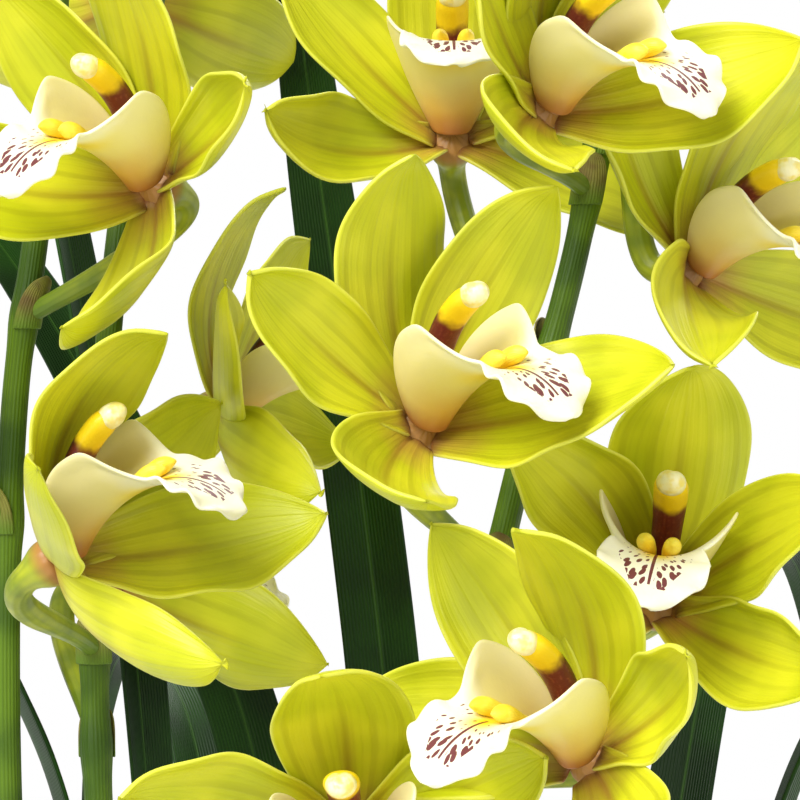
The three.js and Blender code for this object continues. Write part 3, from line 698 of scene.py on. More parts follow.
@dataclass(frozen=True)
class CreamLip(Finish):
    """Waxy lip tissue: ivory, tan and pink at the root, the tan partly its own and partly painted shade in
    the cup, yellow in the throat, maroon spots in rows that fan out over the midlobe."""

    ivory: str = "#F6F0D2"
    lobe: str = "#EBDA86"
    tan_and_shade: str = "#D9A84C"
    # Tan towards the lip's root: partly its own tone, partly painted shade in the cup.
    root: str = "#A8602E"
    throat: str = "#F5D22C"
    spot: str = "#650B1E"
    midlobe: float = 0.58
    spot_rows: float = 13
    spots_along: float = 21

    def paint(self, on: Pattern) -> tuple[Socket, Socket]:
        """The lobes, root, throat and spots over ivory.

        Args:
            on: The material's nodes.

        Returns:
            The colour and the height.
        """
        add, v, across = on.add, on.v, on.across
        lobes = add(Node.TIMES, add(Node.STEP, v, 0.42, 0.58, 0.95, 0.0),
                    add(Node.STEP, across, 0.25, 1.0, 1.0, 0.6))
        colour = add(Node.BLEND, lobes, self.ivory, self.lobe)
        # Tan in the cup towards the root: partly the tissue's own tan, partly painted shade.
        uneven = add(Node.TIMES, add(Node.CLOUD, on.spot, scale_of(10)), 0.1)
        ragged = add(Node.PLUS, v, uneven)
        tan_and_shade = add(Node.TIMES, add(Node.STEP, ragged, 0.12, 0.46, 1.0, 0.0),
                  add(Node.STEP, across, 0.1, 0.9, 1.0, 0.3))
        colour = add(Node.BLEND, tan_and_shade, colour, self.tan_and_shade)
        colour = add(Node.BLEND, add(Node.STEP, ragged, 0.04, 0.2, 0.9, 0.0), colour, self.root)
        throat = add(Node.TIMES, add(Node.STEP, v, 0.3, 0.5), add(Node.STEP, v, 0.6, 0.76, 1.0, 0.0))
        throat = add(Node.TIMES, throat, add(Node.STEP, across, 0.08, 0.5, 1.0, 0.0))
        colour = add(Node.BLEND, throat, colour, self.throat)
        colour = add(Node.BLEND, add(Node.TIMES, self.spots(on), 0.96), colour, self.spot)
        return colour, add(Node.CLOUD, on.spot, scale_of(1.2), 1.0)

    def spots(self, on: Pattern) -> Socket:
        """Longish spots, small at the throat and large near the tip, and a fine middle line.

        Args:
            on: The material's nodes.

        Returns:
            1 in a spot or on the line and 0 elsewhere.
        """
        add, v, across = on.add, on.v, on.across
        fanned = add(Node.MINUS, v, add(Node.TIMES, across, 0.22))
        rows = add(Node.JOIN, add(Node.TIMES, on.u, self.spot_rows),
                   add(Node.TIMES, fanned, self.spots_along))
        dots = add(Node.DOTS, rows, 1.0, 0.75)
        size = add(Node.TIMES, add(Node.CLOUD, on.spot, scale_of(3)), 0.62)
        size = add(Node.PLUS, size, add(Node.STEP, v, 0.62, 0.84, -0.2, 0.13))
        dot = add(Node.ABOVE, size, dots)
        ring = add(Node.SIZE, add(Node.MINUS, across, add(Node.STEP, v, 0.6, 0.9, 0.42, 0.1)))
        fan = add(Node.TIMES, add(Node.STEP, ring, 0.28, 0.34, 1.0, 0.0),
                  add(Node.STEP, across, 0.07, 0.1))
        lobe = add(Node.TIMES, add(Node.ABOVE, v, self.midlobe), add(Node.STEP, v, 0.885, 0.91, 1.0, 0.0))
        marks = add(Node.ABOVE, add(Node.TIMES, dot, add(Node.TIMES, fan, lobe)), 0.5)
        line = add(Node.TIMES, add(Node.BELOW, across, 0.03), add(Node.ABOVE, v, self.midlobe))
        line = add(Node.TIMES, line, add(Node.BELOW, v, 0.88))
        return add(Node.LARGER, marks, line)


@dataclass(frozen=True)
class StreakedColumn(Finish):
    """Column tissue: maroon with fine streaks and pale glands, clear yellow towards its tip."""

    maroon: str = "#6A2420"
    streak: str = "#8E4634"
    below: str = "#3A0C10"
    tip: str = "#F6D21A"
    change: float = 0.71

    def paint(self, on: Pattern) -> tuple[Socket, Socket]:
        """Streaks along the column that give way to yellow, and a dark hollow.

        Args:
            on: The material's nodes.

        Returns:
            The colour and the height.
        """
        add = on.add
        lines = add(Node.LINES, on.sheet, 20 / LINES_PER_UNIT, 3.0, 2.0, 1.5)
        flecks = add(Node.STEP, add(Node.CLOUD, on.spot, scale_of(1.2)), 0.45, 0.7, 0.0, 0.7)
        colour = add(Node.BLEND, add(Node.TIMES, lines, flecks), self.maroon, self.streak)
        # The hollow underside is the second half of the way round.
        under = add(Node.TIMES, add(Node.STEP, on.u, 0.5, 0.62), add(Node.STEP, on.u, 0.88, 1.0, 1.0, 0.0))
        colour = add(Node.BLEND, under, colour, self.below)
        uneven = add(Node.TIMES, add(Node.CLOUD, on.spot, scale_of(3)), 0.1)
        ragged = add(Node.PLUS, on.v, uneven)
        yellow = add(Node.STEP, ragged, self.change, self.change + 0.1)
        colour = add(Node.BLEND, yellow, colour, self.tip)
        return colour, add(Node.CLOUD, on.spot, scale_of(0.7), 1.0)


@dataclass(frozen=True)
class CloudedSkin(Finish):
    """A skin of two close tones with fine lines along it, and other tones at its two ends."""

    light: str = "#6F8A2A"
    dark: str = "#3F5A18"
    foot: str = "#6F8A2A"
    head: str = ""
    cloud_mm: float = 14
    line_count: float = 24
    line_share: float = 0.35
    foot_end: float = 0.01
    head_start: float = 0.8

    def paint(self, on: Pattern) -> tuple[Socket, Socket]:
        """Clouds and lines, with another tone at the foot and, where it is named, at the head.

        Args:
            on: The material's nodes.

        Returns:
            The colour and the height.
        """
        add = on.add
        clouds = add(Node.STEP, add(Node.CLOUD, on.spot, scale_of(self.cloud_mm)), 0.35, 0.65)
        colour = add(Node.BLEND, clouds, self.light, self.dark)
        lines = add(Node.LINES, on.sheet, self.line_count / LINES_PER_UNIT, 1.5, 2.0, 1.5)
        colour = add(Node.BLEND, add(Node.TIMES, lines, self.line_share), colour, self.dark)
        colour = add(Node.BLEND, add(Node.STEP, on.v, 0.0, self.foot_end, 1.0, 0.0), colour, self.foot)
        if self.head:
            reached = add(Node.STEP, on.v, self.head_start, self.head_start + 0.08)
            colour = add(Node.BLEND, reached, colour, self.head)
        grain = add(Node.TIMES, add(Node.CLOUD, on.spot, scale_of(1.1)), 0.4)
        return colour, add(Node.PLUS, add(Node.TIMES, lines, 0.7), grain)


@dataclass(frozen=True)
class StrapLeaf(Finish):
    """Leaf cuticle: dark green, finely ribbed along its length, pale at its foot, dry at its tip."""

    green: str = "#1E420A"
    dark: str = "#102806"
    keel: str = "#3E6420"
    foot: str = "#7E8A3C"
    dry: str = "#7A5A2A"
    rib_count: float = 22

    def paint(self, on: Pattern) -> tuple[Socket, Socket]:
        """Ribs and a keel line over clouded green.

        Args:
            on: The material's nodes.

        Returns:
            The colour and the height.
        """
        add, v = on.add, on.v
        clouds = add(Node.STEP, add(Node.CLOUD, on.spot, scale_of(30)), 0.35, 0.65)
        colour = add(Node.BLEND, clouds, self.green, self.dark)
        ribs = add(Node.LINES, on.sheet, self.rib_count / LINES_PER_UNIT, 0.4, 2.0, 1.5)
        colour = add(Node.BLEND, add(Node.TIMES, ribs, 0.45), colour, self.dark)
        colour = add(Node.BLEND, add(Node.STEP, on.across, 0.0, 0.08, 0.5, 0.0), colour, self.keel)
        colour = add(Node.BLEND, add(Node.STEP, v, 0.0, 0.14, 0.85, 0.0), colour, self.foot)
        colour = add(Node.BLEND, add(Node.STEP, v, 0.975, 0.995, 0.0, 0.9), colour, self.dry)
        return colour, ribs


@dataclass(frozen=True)
class BrokenBark(Finish):
    """Composted pine bark: brown chips, corky and layered, with pale broken faces."""

    brown: str = "#5A3A22"
    dark: str = "#2C1B10"
    pale: str = "#9A7450"

    def paint(self, on: Pattern) -> tuple[Socket, Socket]:
        """Cork layers and pale flecks.

        Args:
            on: The material's nodes.

        Returns:
            The colour and the height.
        """
        add = on.add
        flat = add(Node.STRETCH, on.spot, (1.0, 1.0, 3.0))
        layers = add(Node.CLOUD, flat, scale_of(5), 6.0)
        colour = add(Node.BLEND, add(Node.STEP, layers, 0.35, 0.65), self.dark, self.brown)
        flecks = add(Node.STEP, add(Node.CLOUD, on.spot, scale_of(9), 3.0), 0.58, 0.68, 0.0, 0.7)
        return add(Node.BLEND, flecks, colour, self.pale), layers


@dataclass(frozen=True)
class StonePot(Finish):
    """Fine stoneware, turned and left matt: warm off-white with faint rings and iron specks."""

    body: str = "#B4AB9B"
    shade: str = "#AAA08F"
    speck: str = "#7A6E5E"

    def paint(self, on: Pattern) -> tuple[Socket, Socket]:
        """Turning rings, faint clouds and specks.

        Args:
            on: The material's nodes.

        Returns:
            The colour and the height.
        """
        add = on.add
        clouds = add(Node.STEP, add(Node.CLOUD, on.spot, scale_of(40)), 0.3, 0.7)
        colour = add(Node.BLEND, clouds, self.body, self.shade)
        specks = add(Node.STEP, add(Node.CLOUD, on.spot, scale_of(1.6), 1.0), 0.72, 0.76, 0.0, 0.6)
        colour = add(Node.BLEND, specks, colour, self.speck)
        rings = add(Node.CLOUD, add(Node.STRETCH, on.spot, (0.02, 0.02, 1.0)), scale_of(2.5))
        grain = add(Node.TIMES, add(Node.CLOUD, on.spot, scale_of(0.8)), 0.4)
        return colour, add(Node.PLUS, add(Node.TIMES, rings, 0.6), grain)


@dataclass(frozen=True)
class PlainFloor(Finish):
    """Matt studio paper."""

    light: str = "#F3F3F2"
    shade: str = "#F0F0EE"

    def paint(self, on: Pattern) -> tuple[Socket, Socket]:
        """Barely clouded white.

        Args:
            on: The material's nodes.

        Returns:
            The colour and the height.
        """
        cloud = on.add(Node.CLOUD, on.spot, scale_of(300))
        return on.add(Node.BLEND, cloud, self.light, self.shade), cloud


class Finishes:
    """Every material of the plant, made once."""

    def __init__(self) -> None:
        """Makes the materials."""
        # The wax gives a soft sheen, and light that enters the thin tissue makes it glow.
        self.tepal = WaxyTepal("waxy petal tissue", 0.42, 0.35, 0.25, 2.5, 0.12).make()
        # The same wax over paler tissue, so the maroon spots stand out crisply.
        self.lip = CreamLip("waxy lip tissue", 0.42, 0.35, 0.3, 2.5, 0.05).make()
        # Plump and clear yellow, the brightest thing in the throat.
        self.callus = CloudedSkin("yellow lip callus", 0.4, 0.4, 0.1, 1.0, 0.05, light="#FFE850",
                                  dark="#FBDA34", foot="#F3E27A", cloud_mm=3, line_share=0.1).make()
        # Dark and denser than the petals, so it reads as the flower's hard centre.
        self.column = StreakedColumn("streaked column tissue", 0.38, 0.45, 0.1, 1.0, 0.08).make()
        # A glossy bead of wax that catches the light at the column's tip.
        self.anther = CloudedSkin("waxy anther cap", 0.3, 0.5, 0.15, 1.0, 0.03, light="#FAF2C0",
                                  dark="#F4E07A", foot="#E8B818", cloud_mm=2.5, line_share=0.05).make()
        # Dull and dark, so the stalks stay behind the bright flowers.
        self.scape = CloudedSkin("flower stalk skin", 0.45, 0.3, 0.1, 1.5, 0.12, light="#5C7A10",
                                 dark="#34500A", foot="#3C5614", cloud_mm=22).make()
        # Grooved and paler towards the flower, with a brown flush where the petals join.
        self.pedicel = CloudedSkin("flower stem skin", 0.42, 0.4, 0.15, 1.5, 0.12, light="#A9B01E",
                                   dark="#76861A", foot="#5E7A1E", head="#A8783A", cloud_mm=9,
                                   line_count=12, foot_end=0.5, head_start=0.84).make()
        # Thin and dry, with veins that show as fine brown lines.
        self.bract = CloudedSkin("papery bract", 0.6, 0.3, 0.1, 1.0, 0.15, light="#8A8A3C",
                                 dark="#6C5A30", foot="#5E7A1E", cloud_mm=6, line_count=16,
                                 foot_end=0.6).make()
        # Firm green that has yet to clear to the flowers' yellow.
        self.bud = CloudedSkin("bud skin", 0.42, 0.4, 0.2, 2.0, 0.1, light="#A9B32A", dark="#7E8C1C",
                               foot="#6E7C1E", cloud_mm=8, line_count=18, foot_end=0.3).make()
        # Smooth, finely grooved green where the sheaths leave it bare.
        self.bulb = CloudedSkin("pseudobulb skin", 0.45, 0.4, 0.1, 2.0, 0.25, light="#71843A",
                                dark="#4C5F22", foot="#7A6A3A", cloud_mm=16, line_count=30,
                                foot_end=0.25).make()
        # Old leaf bases, dry and fibrous, straw to brown.
        self.sheath = CloudedSkin("dry leaf sheath", 0.7, 0.2, 0.1, 1.0, 0.3, light="#A59468",
                                  dark="#7A6640", foot="#5A6A2A", cloud_mm=24, line_count=46,
                                  line_share=0.6, foot_end=0.15).make()
        # A tough dark green skin with a low sheen along its ribs.
        self.leaf = StrapLeaf("strap leaf cuticle", 0.42, 0.18, 0.0, 1.0, 0.15).make()
        # Rough and almost without shine, so the bed reads as loose and dry.
        self.bark = BrokenBark("composted pine bark", 0.95, 0.15, 0.0, 1.0, 0.8).make()
        # Pale, dry to the touch, with rings that only a low light shows.
        self.pot = StonePot("matt turned stoneware", 0.62, 0.35, 0.0, 1.0, 0.12).make()
        # Takes the shadow and nothing more.
        self.floor = PlainFloor("studio paper", 0.9, 0.1, 0.0, 1.0, 0.05).make()


# ---- the flower ----
@dataclass
class Flower:
    """One open flower in its own frame, which faces -Y, in millimetres."""

    plan: FlowerPlan
    sepal_length: float = 64
    sepal_width: float = 33
    petal_length: float = 61
    petal_width: float = 29
    tepal_root: float = 3
    tepal_thickness: float = 1.1
    foot_y: float = -5.05
    column_foot_z: float = 1
    lip_foot_z: float = -3
    column_length: float = 35
    column_diameter: float = 7
    column_start: float = 70
    column_end: float = 4
    lip_length: float = 50
    lip_half: float = 23.5
    lip_base_half: float = 8
    lip_base_wrap: float = 110
    waist: float = 0.55
    waist_half: float = 11
    midlobe_half: float = 12.5
    lip_start: float = 34
    lip_waist: float = -12
    lip_end: float = -90
    lip_thickness: float = 0.9
    receptacle_behind: float = 2
    tepal_steps: int = 26
    tepal_columns: int = 14
    lip_steps: int = 44
    lip_columns: int = 28
    ruffles: float = 7
    ruffle_height: float = 1.3
    ridge_steps: int = 48
    ridge_first: int = 8
    ridge_last: int = 30
    column_steps: int = 26
    column_sides: int = 20
    cap_reach: Point = (3.6, 3.7, 3.0)

    def __post_init__(self) -> None:
        """Works out the flower's place from its lip in the frame."""
        plan = self.plan
        self.turned = (Matrix.Rotation(math.radians(plan.turn), 3, "Z")
                       @ Matrix.Rotation(math.radians(-plan.nod), 3, "X")
                       @ Matrix.Rotation(math.radians(plan.roll), 3, FORWARD))
        self.random = random.Random(plan.name)
        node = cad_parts[self.node("lip")]
        local = [self.turned.transposed() @ vert.co / MM for vert in node.data.vertices]
        # The rearmost points of the lip are the two edges of its foot.
        rear = max(point.y for point in local)
        hind = [point for point in local if rear - point.y < 0.01]
        foot_edge = self.lip_point(*self.lip_rows(1)[0], 0, 1)
        self.origin = self.turned @ Vector((sum(p.x for p in hind) / len(hind), rear - foot_edge.y,
                                            sum(p.z for p in hind) / len(hind) - foot_edge.z))
        self.place = Matrix.Translation(self.origin) @ self.turned.to_4x4()

    def node(self, part: str) -> str:
        """The name of one of the flower's CAD nodes."""
        return f"flower_{self.plan.name}_{part}"

    def build(self, finishes: Finishes) -> None:
        """Makes and dresses the flower's pieces.

        Args:
            finishes: The plant's materials.
        """
        self.make_tepals(finishes)
        self.make_lip(finishes)
        self.make_callus(finishes)
        self.make_column(finishes)
        self.make_anther(finishes)

    # -- tepals --
    def tepal_width(self, u: float) -> float:
        """The share of a tepal's full width at a share u of its length.

        Args:
            u: The share of the tepal's length.

        Returns:
            The share of its width.
        """
        widest = 0.52
        if u < widest:
            return 0.38 + 0.62 * math.sin(u / widest * math.pi / 2) ** 1.15
        return max(0.004, 1 - ((u - widest) / (1 - widest)) ** 2.0) ** 0.85

    def add_tepal(self, mesh: bmesh.types.BMesh, tepal: Tepal) -> None:
        """Adds one tepal: a cupped blade with a channelled midrib, a waved margin and a hooked tip.

        Args:
            mesh: Where it goes.
            tepal: Which one.
        """
        pose = self.plan.pose(tepal)
        petal = tepal.value[1]
        length = self.petal_length if petal else self.sepal_length
        half = (self.petal_width if petal else self.sepal_width) / 2 * pose.wide
        rows, along, fine = [], self.tepal_steps, 4
        radial = between(UP, ACROSS, pose.spread)
        side0 = between(ACROSS, -UP, pose.spread)
        point = radial * self.tepal_root
        for step in range(along * fine + 1):
            u = step / (along * fine)
            lean = pose.open - pose.arch * u
            ahead0 = between(FORWARD, radial, lean)
            normal0 = between(-radial, FORWARD, lean)
            ahead = between(ahead0, side0, pose.sway * u)
            side1 = between(side0, -ahead0, pose.sway * u)
            side = between(side1, normal0, pose.twist * u)
            normal = between(normal0, -side1, pose.twist * u)
            if step:
                point = point + ahead * (length / (along * fine))
            if step % fine == 0:
                rows.append((point, side, normal))
        wave_turns = self.random.uniform(1.6, 2.6)
        wave_start = self.random.uniform(0, 360)
        wave = self.random.uniform(0.7, 1.3)
        notch = self.random.uniform(-0.35, 0.35)

        def shape(row: int, u: float, v: float) -> Vector:
            """The place of a point of the sheet.

            Args:
                row: The step along.
                u: The share of the way along.
                v: The place across, from -1 to 1.

            Returns:
                The point.
            """
            centre, side, normal = rows[row]
            place, out = self.on_arc(centre, side, normal, half * self.tepal_width(u), pose.cup, v)
            margin = abs(v) ** 3 * math.sin(math.pi * u)
            lift = wave * margin * math.sin(math.radians(360 * wave_turns * u + wave_start + 70 * v))
            channel = -0.9 * math.exp(-((v / 0.14) ** 2)) * (1 - u) ** 0.7
            hook = 1.8 * ramp(u, 0.86, 1.0) ** 2
            edge = 0.5 * ramp(abs(v), 0.75, 1.0) * math.sin(math.pi * u)
            return place + out * (lift + channel + hook + edge) + side * (notch * hook)

        add_sheet(mesh, along, self.tepal_columns, shape)

    @staticmethod
    def on_arc(centre: Vector, side: Vector, normal: Vector, half: float, bend: float,
               v: float) -> tuple[Vector, Vector]:
        """A point and its normal on a section that is an arc of half width half and half angle bend.

        Args:
            centre: The section's middle.
            side: The way across.
            normal: The way its hollow faces.
            half: Half its width, laid flat.
            bend: Half the angle of its arc, in degrees.
            v: The place across, from -1 to 1.

        Returns:
            The point and the normal there.
        """
        turn = math.radians(bend)
        if abs(turn) < 1e-3:
            return centre + side * (half * v), normal
        out, up = half * math.sin(turn * v) / turn, half * (1 - math.cos(turn * v)) / turn
        return centre + side * out + normal * up, between(normal, -side, bend * v)

    def make_tepals(self, finishes: Finishes) -> None:
        """Three sepals and two petals, as one piece.

        Args:
            finishes: The plant's materials.
        """
        mesh = new_mesh()
        for tepal in Tepal:
            self.add_tepal(mesh, tepal)
        finish_piece(f"tepals_{self.plan.name}", mesh, Slot.TEPAL, finishes.tepal, (self.node("tepals"),),
                     self.tepal_thickness, 1, self.place)

    # -- lip --
    def lip_rows(self, along: int) -> list[tuple[Vector, Vector]]:
        """The lip's keel: a point and the normal of its inner side for each row.

        Args:
            along: How many steps the lip has.

        Returns:
            along + 1 points and normals.
        """
        fine = max(1, 96 // along)
        point = Vector((0, self.foot_y, self.lip_foot_z))
        rows = []
        for step in range(along * fine + 1):
            u = step / (along * fine)
            if u < self.waist:
                rise = self.lip_start + (self.lip_waist - self.lip_start) * u / self.waist
            else:
                rise = self.lip_waist + (self.lip_end - self.lip_waist) * (u - self.waist) / (1 - self.waist)
            if step:
                point = point + between(FORWARD, UP, rise) * (self.lip_length / (along * fine))
            if step % fine == 0:
                rows.append((point, between(UP, -FORWARD, rise)))
        return rows

    def lip_section(self, u: float) -> tuple[float, float]:
        """Half the lip's width, laid flat, and how far it wraps up, in degrees.

        Args:
            u: The share of the lip's length.

        Returns:
            The half width in millimetres and the wrap.
        """
        if u < 0.45:
            spread = math.sin(min(1.0, u / 0.4) * math.pi / 2)
            half = self.lip_base_half + (self.lip_half - self.lip_base_half) * spread
            return half, self.lip_base_wrap - 45 * u
        if u < 0.6:
            k = (u - 0.45) / 0.15
            return self.lip_half - (self.lip_half - self.waist_half) * math.sin(k * math.pi / 2), 90 - 60 * k
        k = (u - 0.6) / 0.4
        bulge = self.waist_half + (self.midlobe_half - self.waist_half) * 2 * math.sin(k * math.pi)
        return bulge * math.sqrt(max(0.01, 1 - k**2.5)), 30 - 50 * k

    def lip_point(self, centre: Vector, normal: Vector, u: float, v: float) -> Vector:
        """A point of the lip's plain sheet."""
        half, wrap = self.lip_section(u)
        return self.on_arc(centre, -ACROSS, normal, half, wrap, v)[0]

    def make_lip(self, finishes: Finishes) -> None:
        """A tube of two side lobes round the column, and a ruffled midlobe.

        Args:
            finishes: The plant's materials.
        """
        rows = self.lip_rows(self.lip_steps)
        phase = self.random.uniform(0, 360)

        def shape(row: int, u: float, v: float) -> Vector:
            """The place of a point of the sheet.

            Args:
                row: The step along.
                u: The share of the way along.
                v: The place across, from -1 to 1.

            Returns:
                The point.
            """
            centre, normal = rows[row]
            half, wrap = self.lip_section(u)
            place, out = self.on_arc(centre, -ACROSS, normal, half, wrap, v)
            ruffle = abs(v) ** 4 * ramp(u, 0.5, 0.68)
            turn = math.radians(360 * self.ruffles * u + phase + 150 * v)
            lift = self.ruffle_height * ruffle * math.sin(turn)
            lift += 1.1 * ramp(u, 0.9, 1.0) * (1 - v * v)
            lobe_flare = -1.2 * ramp(abs(v), 0.8, 1.0) * ramp(u, 0.2, 0.4) * (1 - ramp(u, 0.5, 0.6))
            return place + out * (lift + lobe_flare)

        mesh = new_mesh()
        add_sheet(mesh, self.lip_steps, self.lip_columns, shape)
        finish_piece(f"lip_{self.plan.name}", mesh, Slot.LIP, finishes.lip, (self.node("lip"),),
                     self.lip_thickness, 1, self.place)

    def make_callus(self, finishes: Finishes) -> None:
        """Two yellow ridges along the lip's keel that end as raised fingers at its mouth.

        Args:
            finishes: The plant's materials.
        """
        rows = self.lip_rows(self.ridge_steps)
        mesh = new_mesh()
        for side in (-1, 1):
            path = []
            for row in range(self.ridge_first, self.ridge_last + 1):
                centre, normal = rows[row]
                u = row / self.ridge_steps
                spread = 2.0 + 1.4 * ramp(u, 0.4, 0.62)
                stand = 1.5 + 1.9 * ramp(u, 0.42, 0.62)
                path.append(centre + ACROSS * (side * spread) + normal * stand)
            add_tube(mesh, path, 12, self.ridge_radius)
        finish_piece(f"callus_{self.plan.name}", mesh, Slot.LIP, finishes.callus, (), 0, 1, self.place)

    @staticmethod
    def ridge_radius(u: float, _degrees: float) -> float:
        """A callus ridge's radius: slim at its start, plump at its rounded end."""
        plump = 0.7 + 1.5 * ramp(u, 0.25, 0.85)
        return plump * math.sqrt(max(0.03, 1 - ramp(u, 0.8, 1.0) ** 3)) * ramp(u, -0.4, 0.1)

    # -- column --
    def column_path(self, steps: int) -> list[Vector]:
        """The column's centre line.

        Args:
            steps: How many steps it has.

        Returns:
            steps + 1 points.
        """
        points = [Vector((0, self.foot_y, self.column_foot_z))]
        for step in range(steps):
            rise = self.column_start + (self.column_end - self.column_start) * (step + 0.5) / steps
            points.append(points[-1] + between(FORWARD, UP, rise) * (self.column_length / steps))
        return points

    def make_column(self, finishes: Finishes) -> None:
        """The arched column: round above, hollowed below, with a wing each side near its tip.

        Args:
            finishes: The plant's materials.
        """
        radius = self.column_diameter / 2

        def around(u: float, degrees: float) -> float:
            """The radius at a point of the skin.

            Args:
                u: The share of the way along.
                degrees: The angle round.

            Returns:
                The radius.
            """
            swell = 0.74 + 0.3 * ramp(u, 0.0, 0.5) - 0.3 * ramp(u, 0.9, 1.0)
            below = max(0.0, -math.sin(math.radians(degrees)))
            wing = abs(math.cos(math.radians(degrees))) ** 6 * 0.16 * ramp(u, 0.45, 0.8)
            return radius * (swell + wing - 0.3 * below**2 * ramp(u, 0.1, 0.5))

        mesh = new_mesh()
        add_tube(mesh, self.column_path(self.column_steps), self.column_sides, around, -ACROSS)
        finish_piece(f"column_{self.plan.name}", mesh, Slot.COLUMN, finishes.column, (self.node("column"),),
                     0, 1, self.place)

    def make_anther(self, finishes: Finishes) -> None:
        """The cap at the column's tip: two cheeks, a groove between them and a short beak.

        Args:
            finishes: The plant's materials.
        """
        path = self.column_path(self.column_steps)
        wide, long, high = self.cap_reach
        tip, ahead = path[-1], (path[-1] - path[-2]).normalized()
        mesh = new_mesh()
        made = bmesh.ops.create_uvsphere(mesh, u_segments=20, v_segments=12, radius=1, calc_uvs=True)
        for vert in made["verts"]:
            x, y, z = vert.co
            groove = 1 - 0.16 * math.exp(-((x / 0.22) ** 2)) * (1 if z > -0.3 else 0)
            beak = 0.25 * ramp(-y, 0.6, 1.0) * (1 - abs(x))
            vert.co = Vector((x * wide * groove, y * long - beak * 2, z * high * groove - beak * 1.5))
        turn = FORWARD.rotation_difference(ahead).to_matrix().to_4x4()
        seat = Matrix.Translation(tip - ahead * 0.9 - UP * 0.5)
        bmesh.ops.transform(mesh, matrix=seat @ turn, verts=mesh.verts)
        finish_piece(f"anther_cap_{self.plan.name}", mesh, Slot.COLUMN, finishes.anther, (), 0, 1,
                     self.place)


# ---- spikes ----
@dataclass
class Spike:
    """A scape with its flower stems, bracts and buds."""

    plan: SpikePlan
    flowers: list[Flower]
    diameter: float = 8
    straight_rise: float = 14
    pedicel_diameter: float = 5.6
    receptacle_radius: float = 5
    bud_length: float = 26
    bud_diameter: float = 12
    scape_steps: int = 160
    scape_sides: int = 21
    pedicel_steps: int = 40
    receptacle_steps: int = 8
    pedicel_sides: int = 18
    bud_steps: int = 48
    bud_sides: int = 24
    sheath_length: float = 62
    sheath_wrap: float = 150

    def __post_init__(self) -> None:
        """Lays out the scape's centre line."""
        points = [plant_point(point) for point in self.plan.path]
        self.path = smooth_path([points[0], points[0] + UP * self.straight_rise, *points[1:]],
                                self.scape_steps)
        self.random = random.Random(self.plan.name)

    def build(self, finishes: Finishes) -> None:
        """Makes and dresses the spike's pieces.

        Args:
            finishes: The plant's materials.
        """
        self.make_scape(finishes)
        for flower in self.flowers:
            self.make_pedicel(flower, finishes)
        for index, bud in enumerate(self.plan.buds):
            self.make_bud(index, bud, finishes)
        self.make_bracts(finishes)

    def radius(self, u: float) -> float:
        """The scape's radius at a share of its length."""
        return self.diameter / 2 * (1.12 - 0.4 * u)

    def leaving_point(self, rise: float) -> Vector:
        """Where a stalk leaves the scape."""
        return at_height(self.path, BARK_TOP + FIT_GAP + rise)

    def make_scape(self, finishes: Finishes) -> None:
        """The tall stalk, slightly swollen where each flower stem leaves it.

        Args:
            finishes: The plant's materials.
        """
        rises = [flower.plan.leaves for flower in self.flowers] + [bud.rise for bud in self.plan.buds]
        swells = [self.leaving_point(rise) for rise in rises]

        def around(u: float, degrees: float) -> float:
            """The radius at a point of the skin.

            Args:
                u: The share of the way along.
                degrees: The angle round.

            Returns:
                The radius.
            """
            point = self.path[round(u * self.scape_steps)]
            swell = sum(math.exp(-(((point - place).length / 5) ** 2)) for place in swells)
            rib = 0.02 * math.cos(math.radians(degrees * 7))
            return self.radius(u) * (1 + min(0.22, 0.22 * swell) + rib)

        mesh = new_mesh()
        add_tube(mesh, self.path, self.scape_sides, around)
        finish_piece(f"scape_of_{self.plan.name}", mesh, Slot.STEM, finishes.scape, (self.plan.name,))

    def make_pedicel(self, flower: Flower, finishes: Finishes) -> None:
        """A flower's stem and ovary, grooved, which ends in the receptacle behind the tepals.

        Args:
            flower: The flower that it carries.
            finishes: The plant's materials.
        """
        back = flower.turned @ -FORWARD
        end = flower.origin + back * (flower.receptacle_behind + self.receptacle_radius + FIT_GAP)
        start = self.leaving_point(flower.plan.leaves)
        reach = (start - end).length
        leave = (end - start)
        leave.z = 0
        leave.normalize()
        one = start + leave * (reach * 0.35) + UP * (reach * 0.15)
        two = end + back * min(18, reach * 0.4)
        dense = []
        for step in range(61):
            t = step / 60
            dense.append(start * (1 - t) ** 3 + one * (3 * t * (1 - t) ** 2)
                         + two * (3 * t * t * (1 - t)) + end * t**3)
        path = even_path(dense, self.pedicel_steps)
        front = flower.origin - back * 2.4
        shares = ((step + 1) / self.receptacle_steps for step in range(self.receptacle_steps))
        path += [end.lerp(front, share) for share in shares]
        slim = self.pedicel_diameter / 2

        def around(u: float, degrees: float) -> float:
            """The radius at a point of the skin.

            Args:
                u: The share of the way along.
                degrees: The angle round.

            Returns:
                The radius.
            """
            groove = 0.07 * math.cos(math.radians(degrees * 3)) * ramp(u, 0.3, 0.5) * (1 - ramp(u, 0.8, 0.9))
            body = slim * (0.86 + 0.34 * ramp(u, 0.1, 0.55))
            flare = (self.receptacle_radius * 1.16 - body) * ramp(u, 0.78, 0.9)
            close = math.sqrt(max(0.02, 1 - ramp(u, 0.92, 1.0) ** 2 * 0.98))
            return (body + flare) * close * (1 + groove)

        mesh = new_mesh()
        add_tube(mesh, path, self.pedicel_sides, around)
        finish_piece(f"pedicel_{flower.plan.name}", mesh, Slot.STEM, finishes.pedicel, (self.plan.name,))

    def make_bud(self, index: int, bud: BudPlan, finishes: Finishes) -> None:
        """A closed bud on its stem: three sepals that meet in seams, bent a little to one side.

        Args:
            index: Its place among the buds.
            bud: Its plan.
            finishes: The plant's materials.
        """
        start = self.leaving_point(bud.rise)
        out = (in_plan(bud.turn) + UP * 0.9).normalized()
        side = out.cross(UP).normalized()
        length = self.bud_length * 1.9
        path = []
        for step in range(self.bud_steps + 1):
            t = step / self.bud_steps
            path.append(start + out * (length * t) + side.cross(out) * (2.5 * math.sin(math.pi * t)))

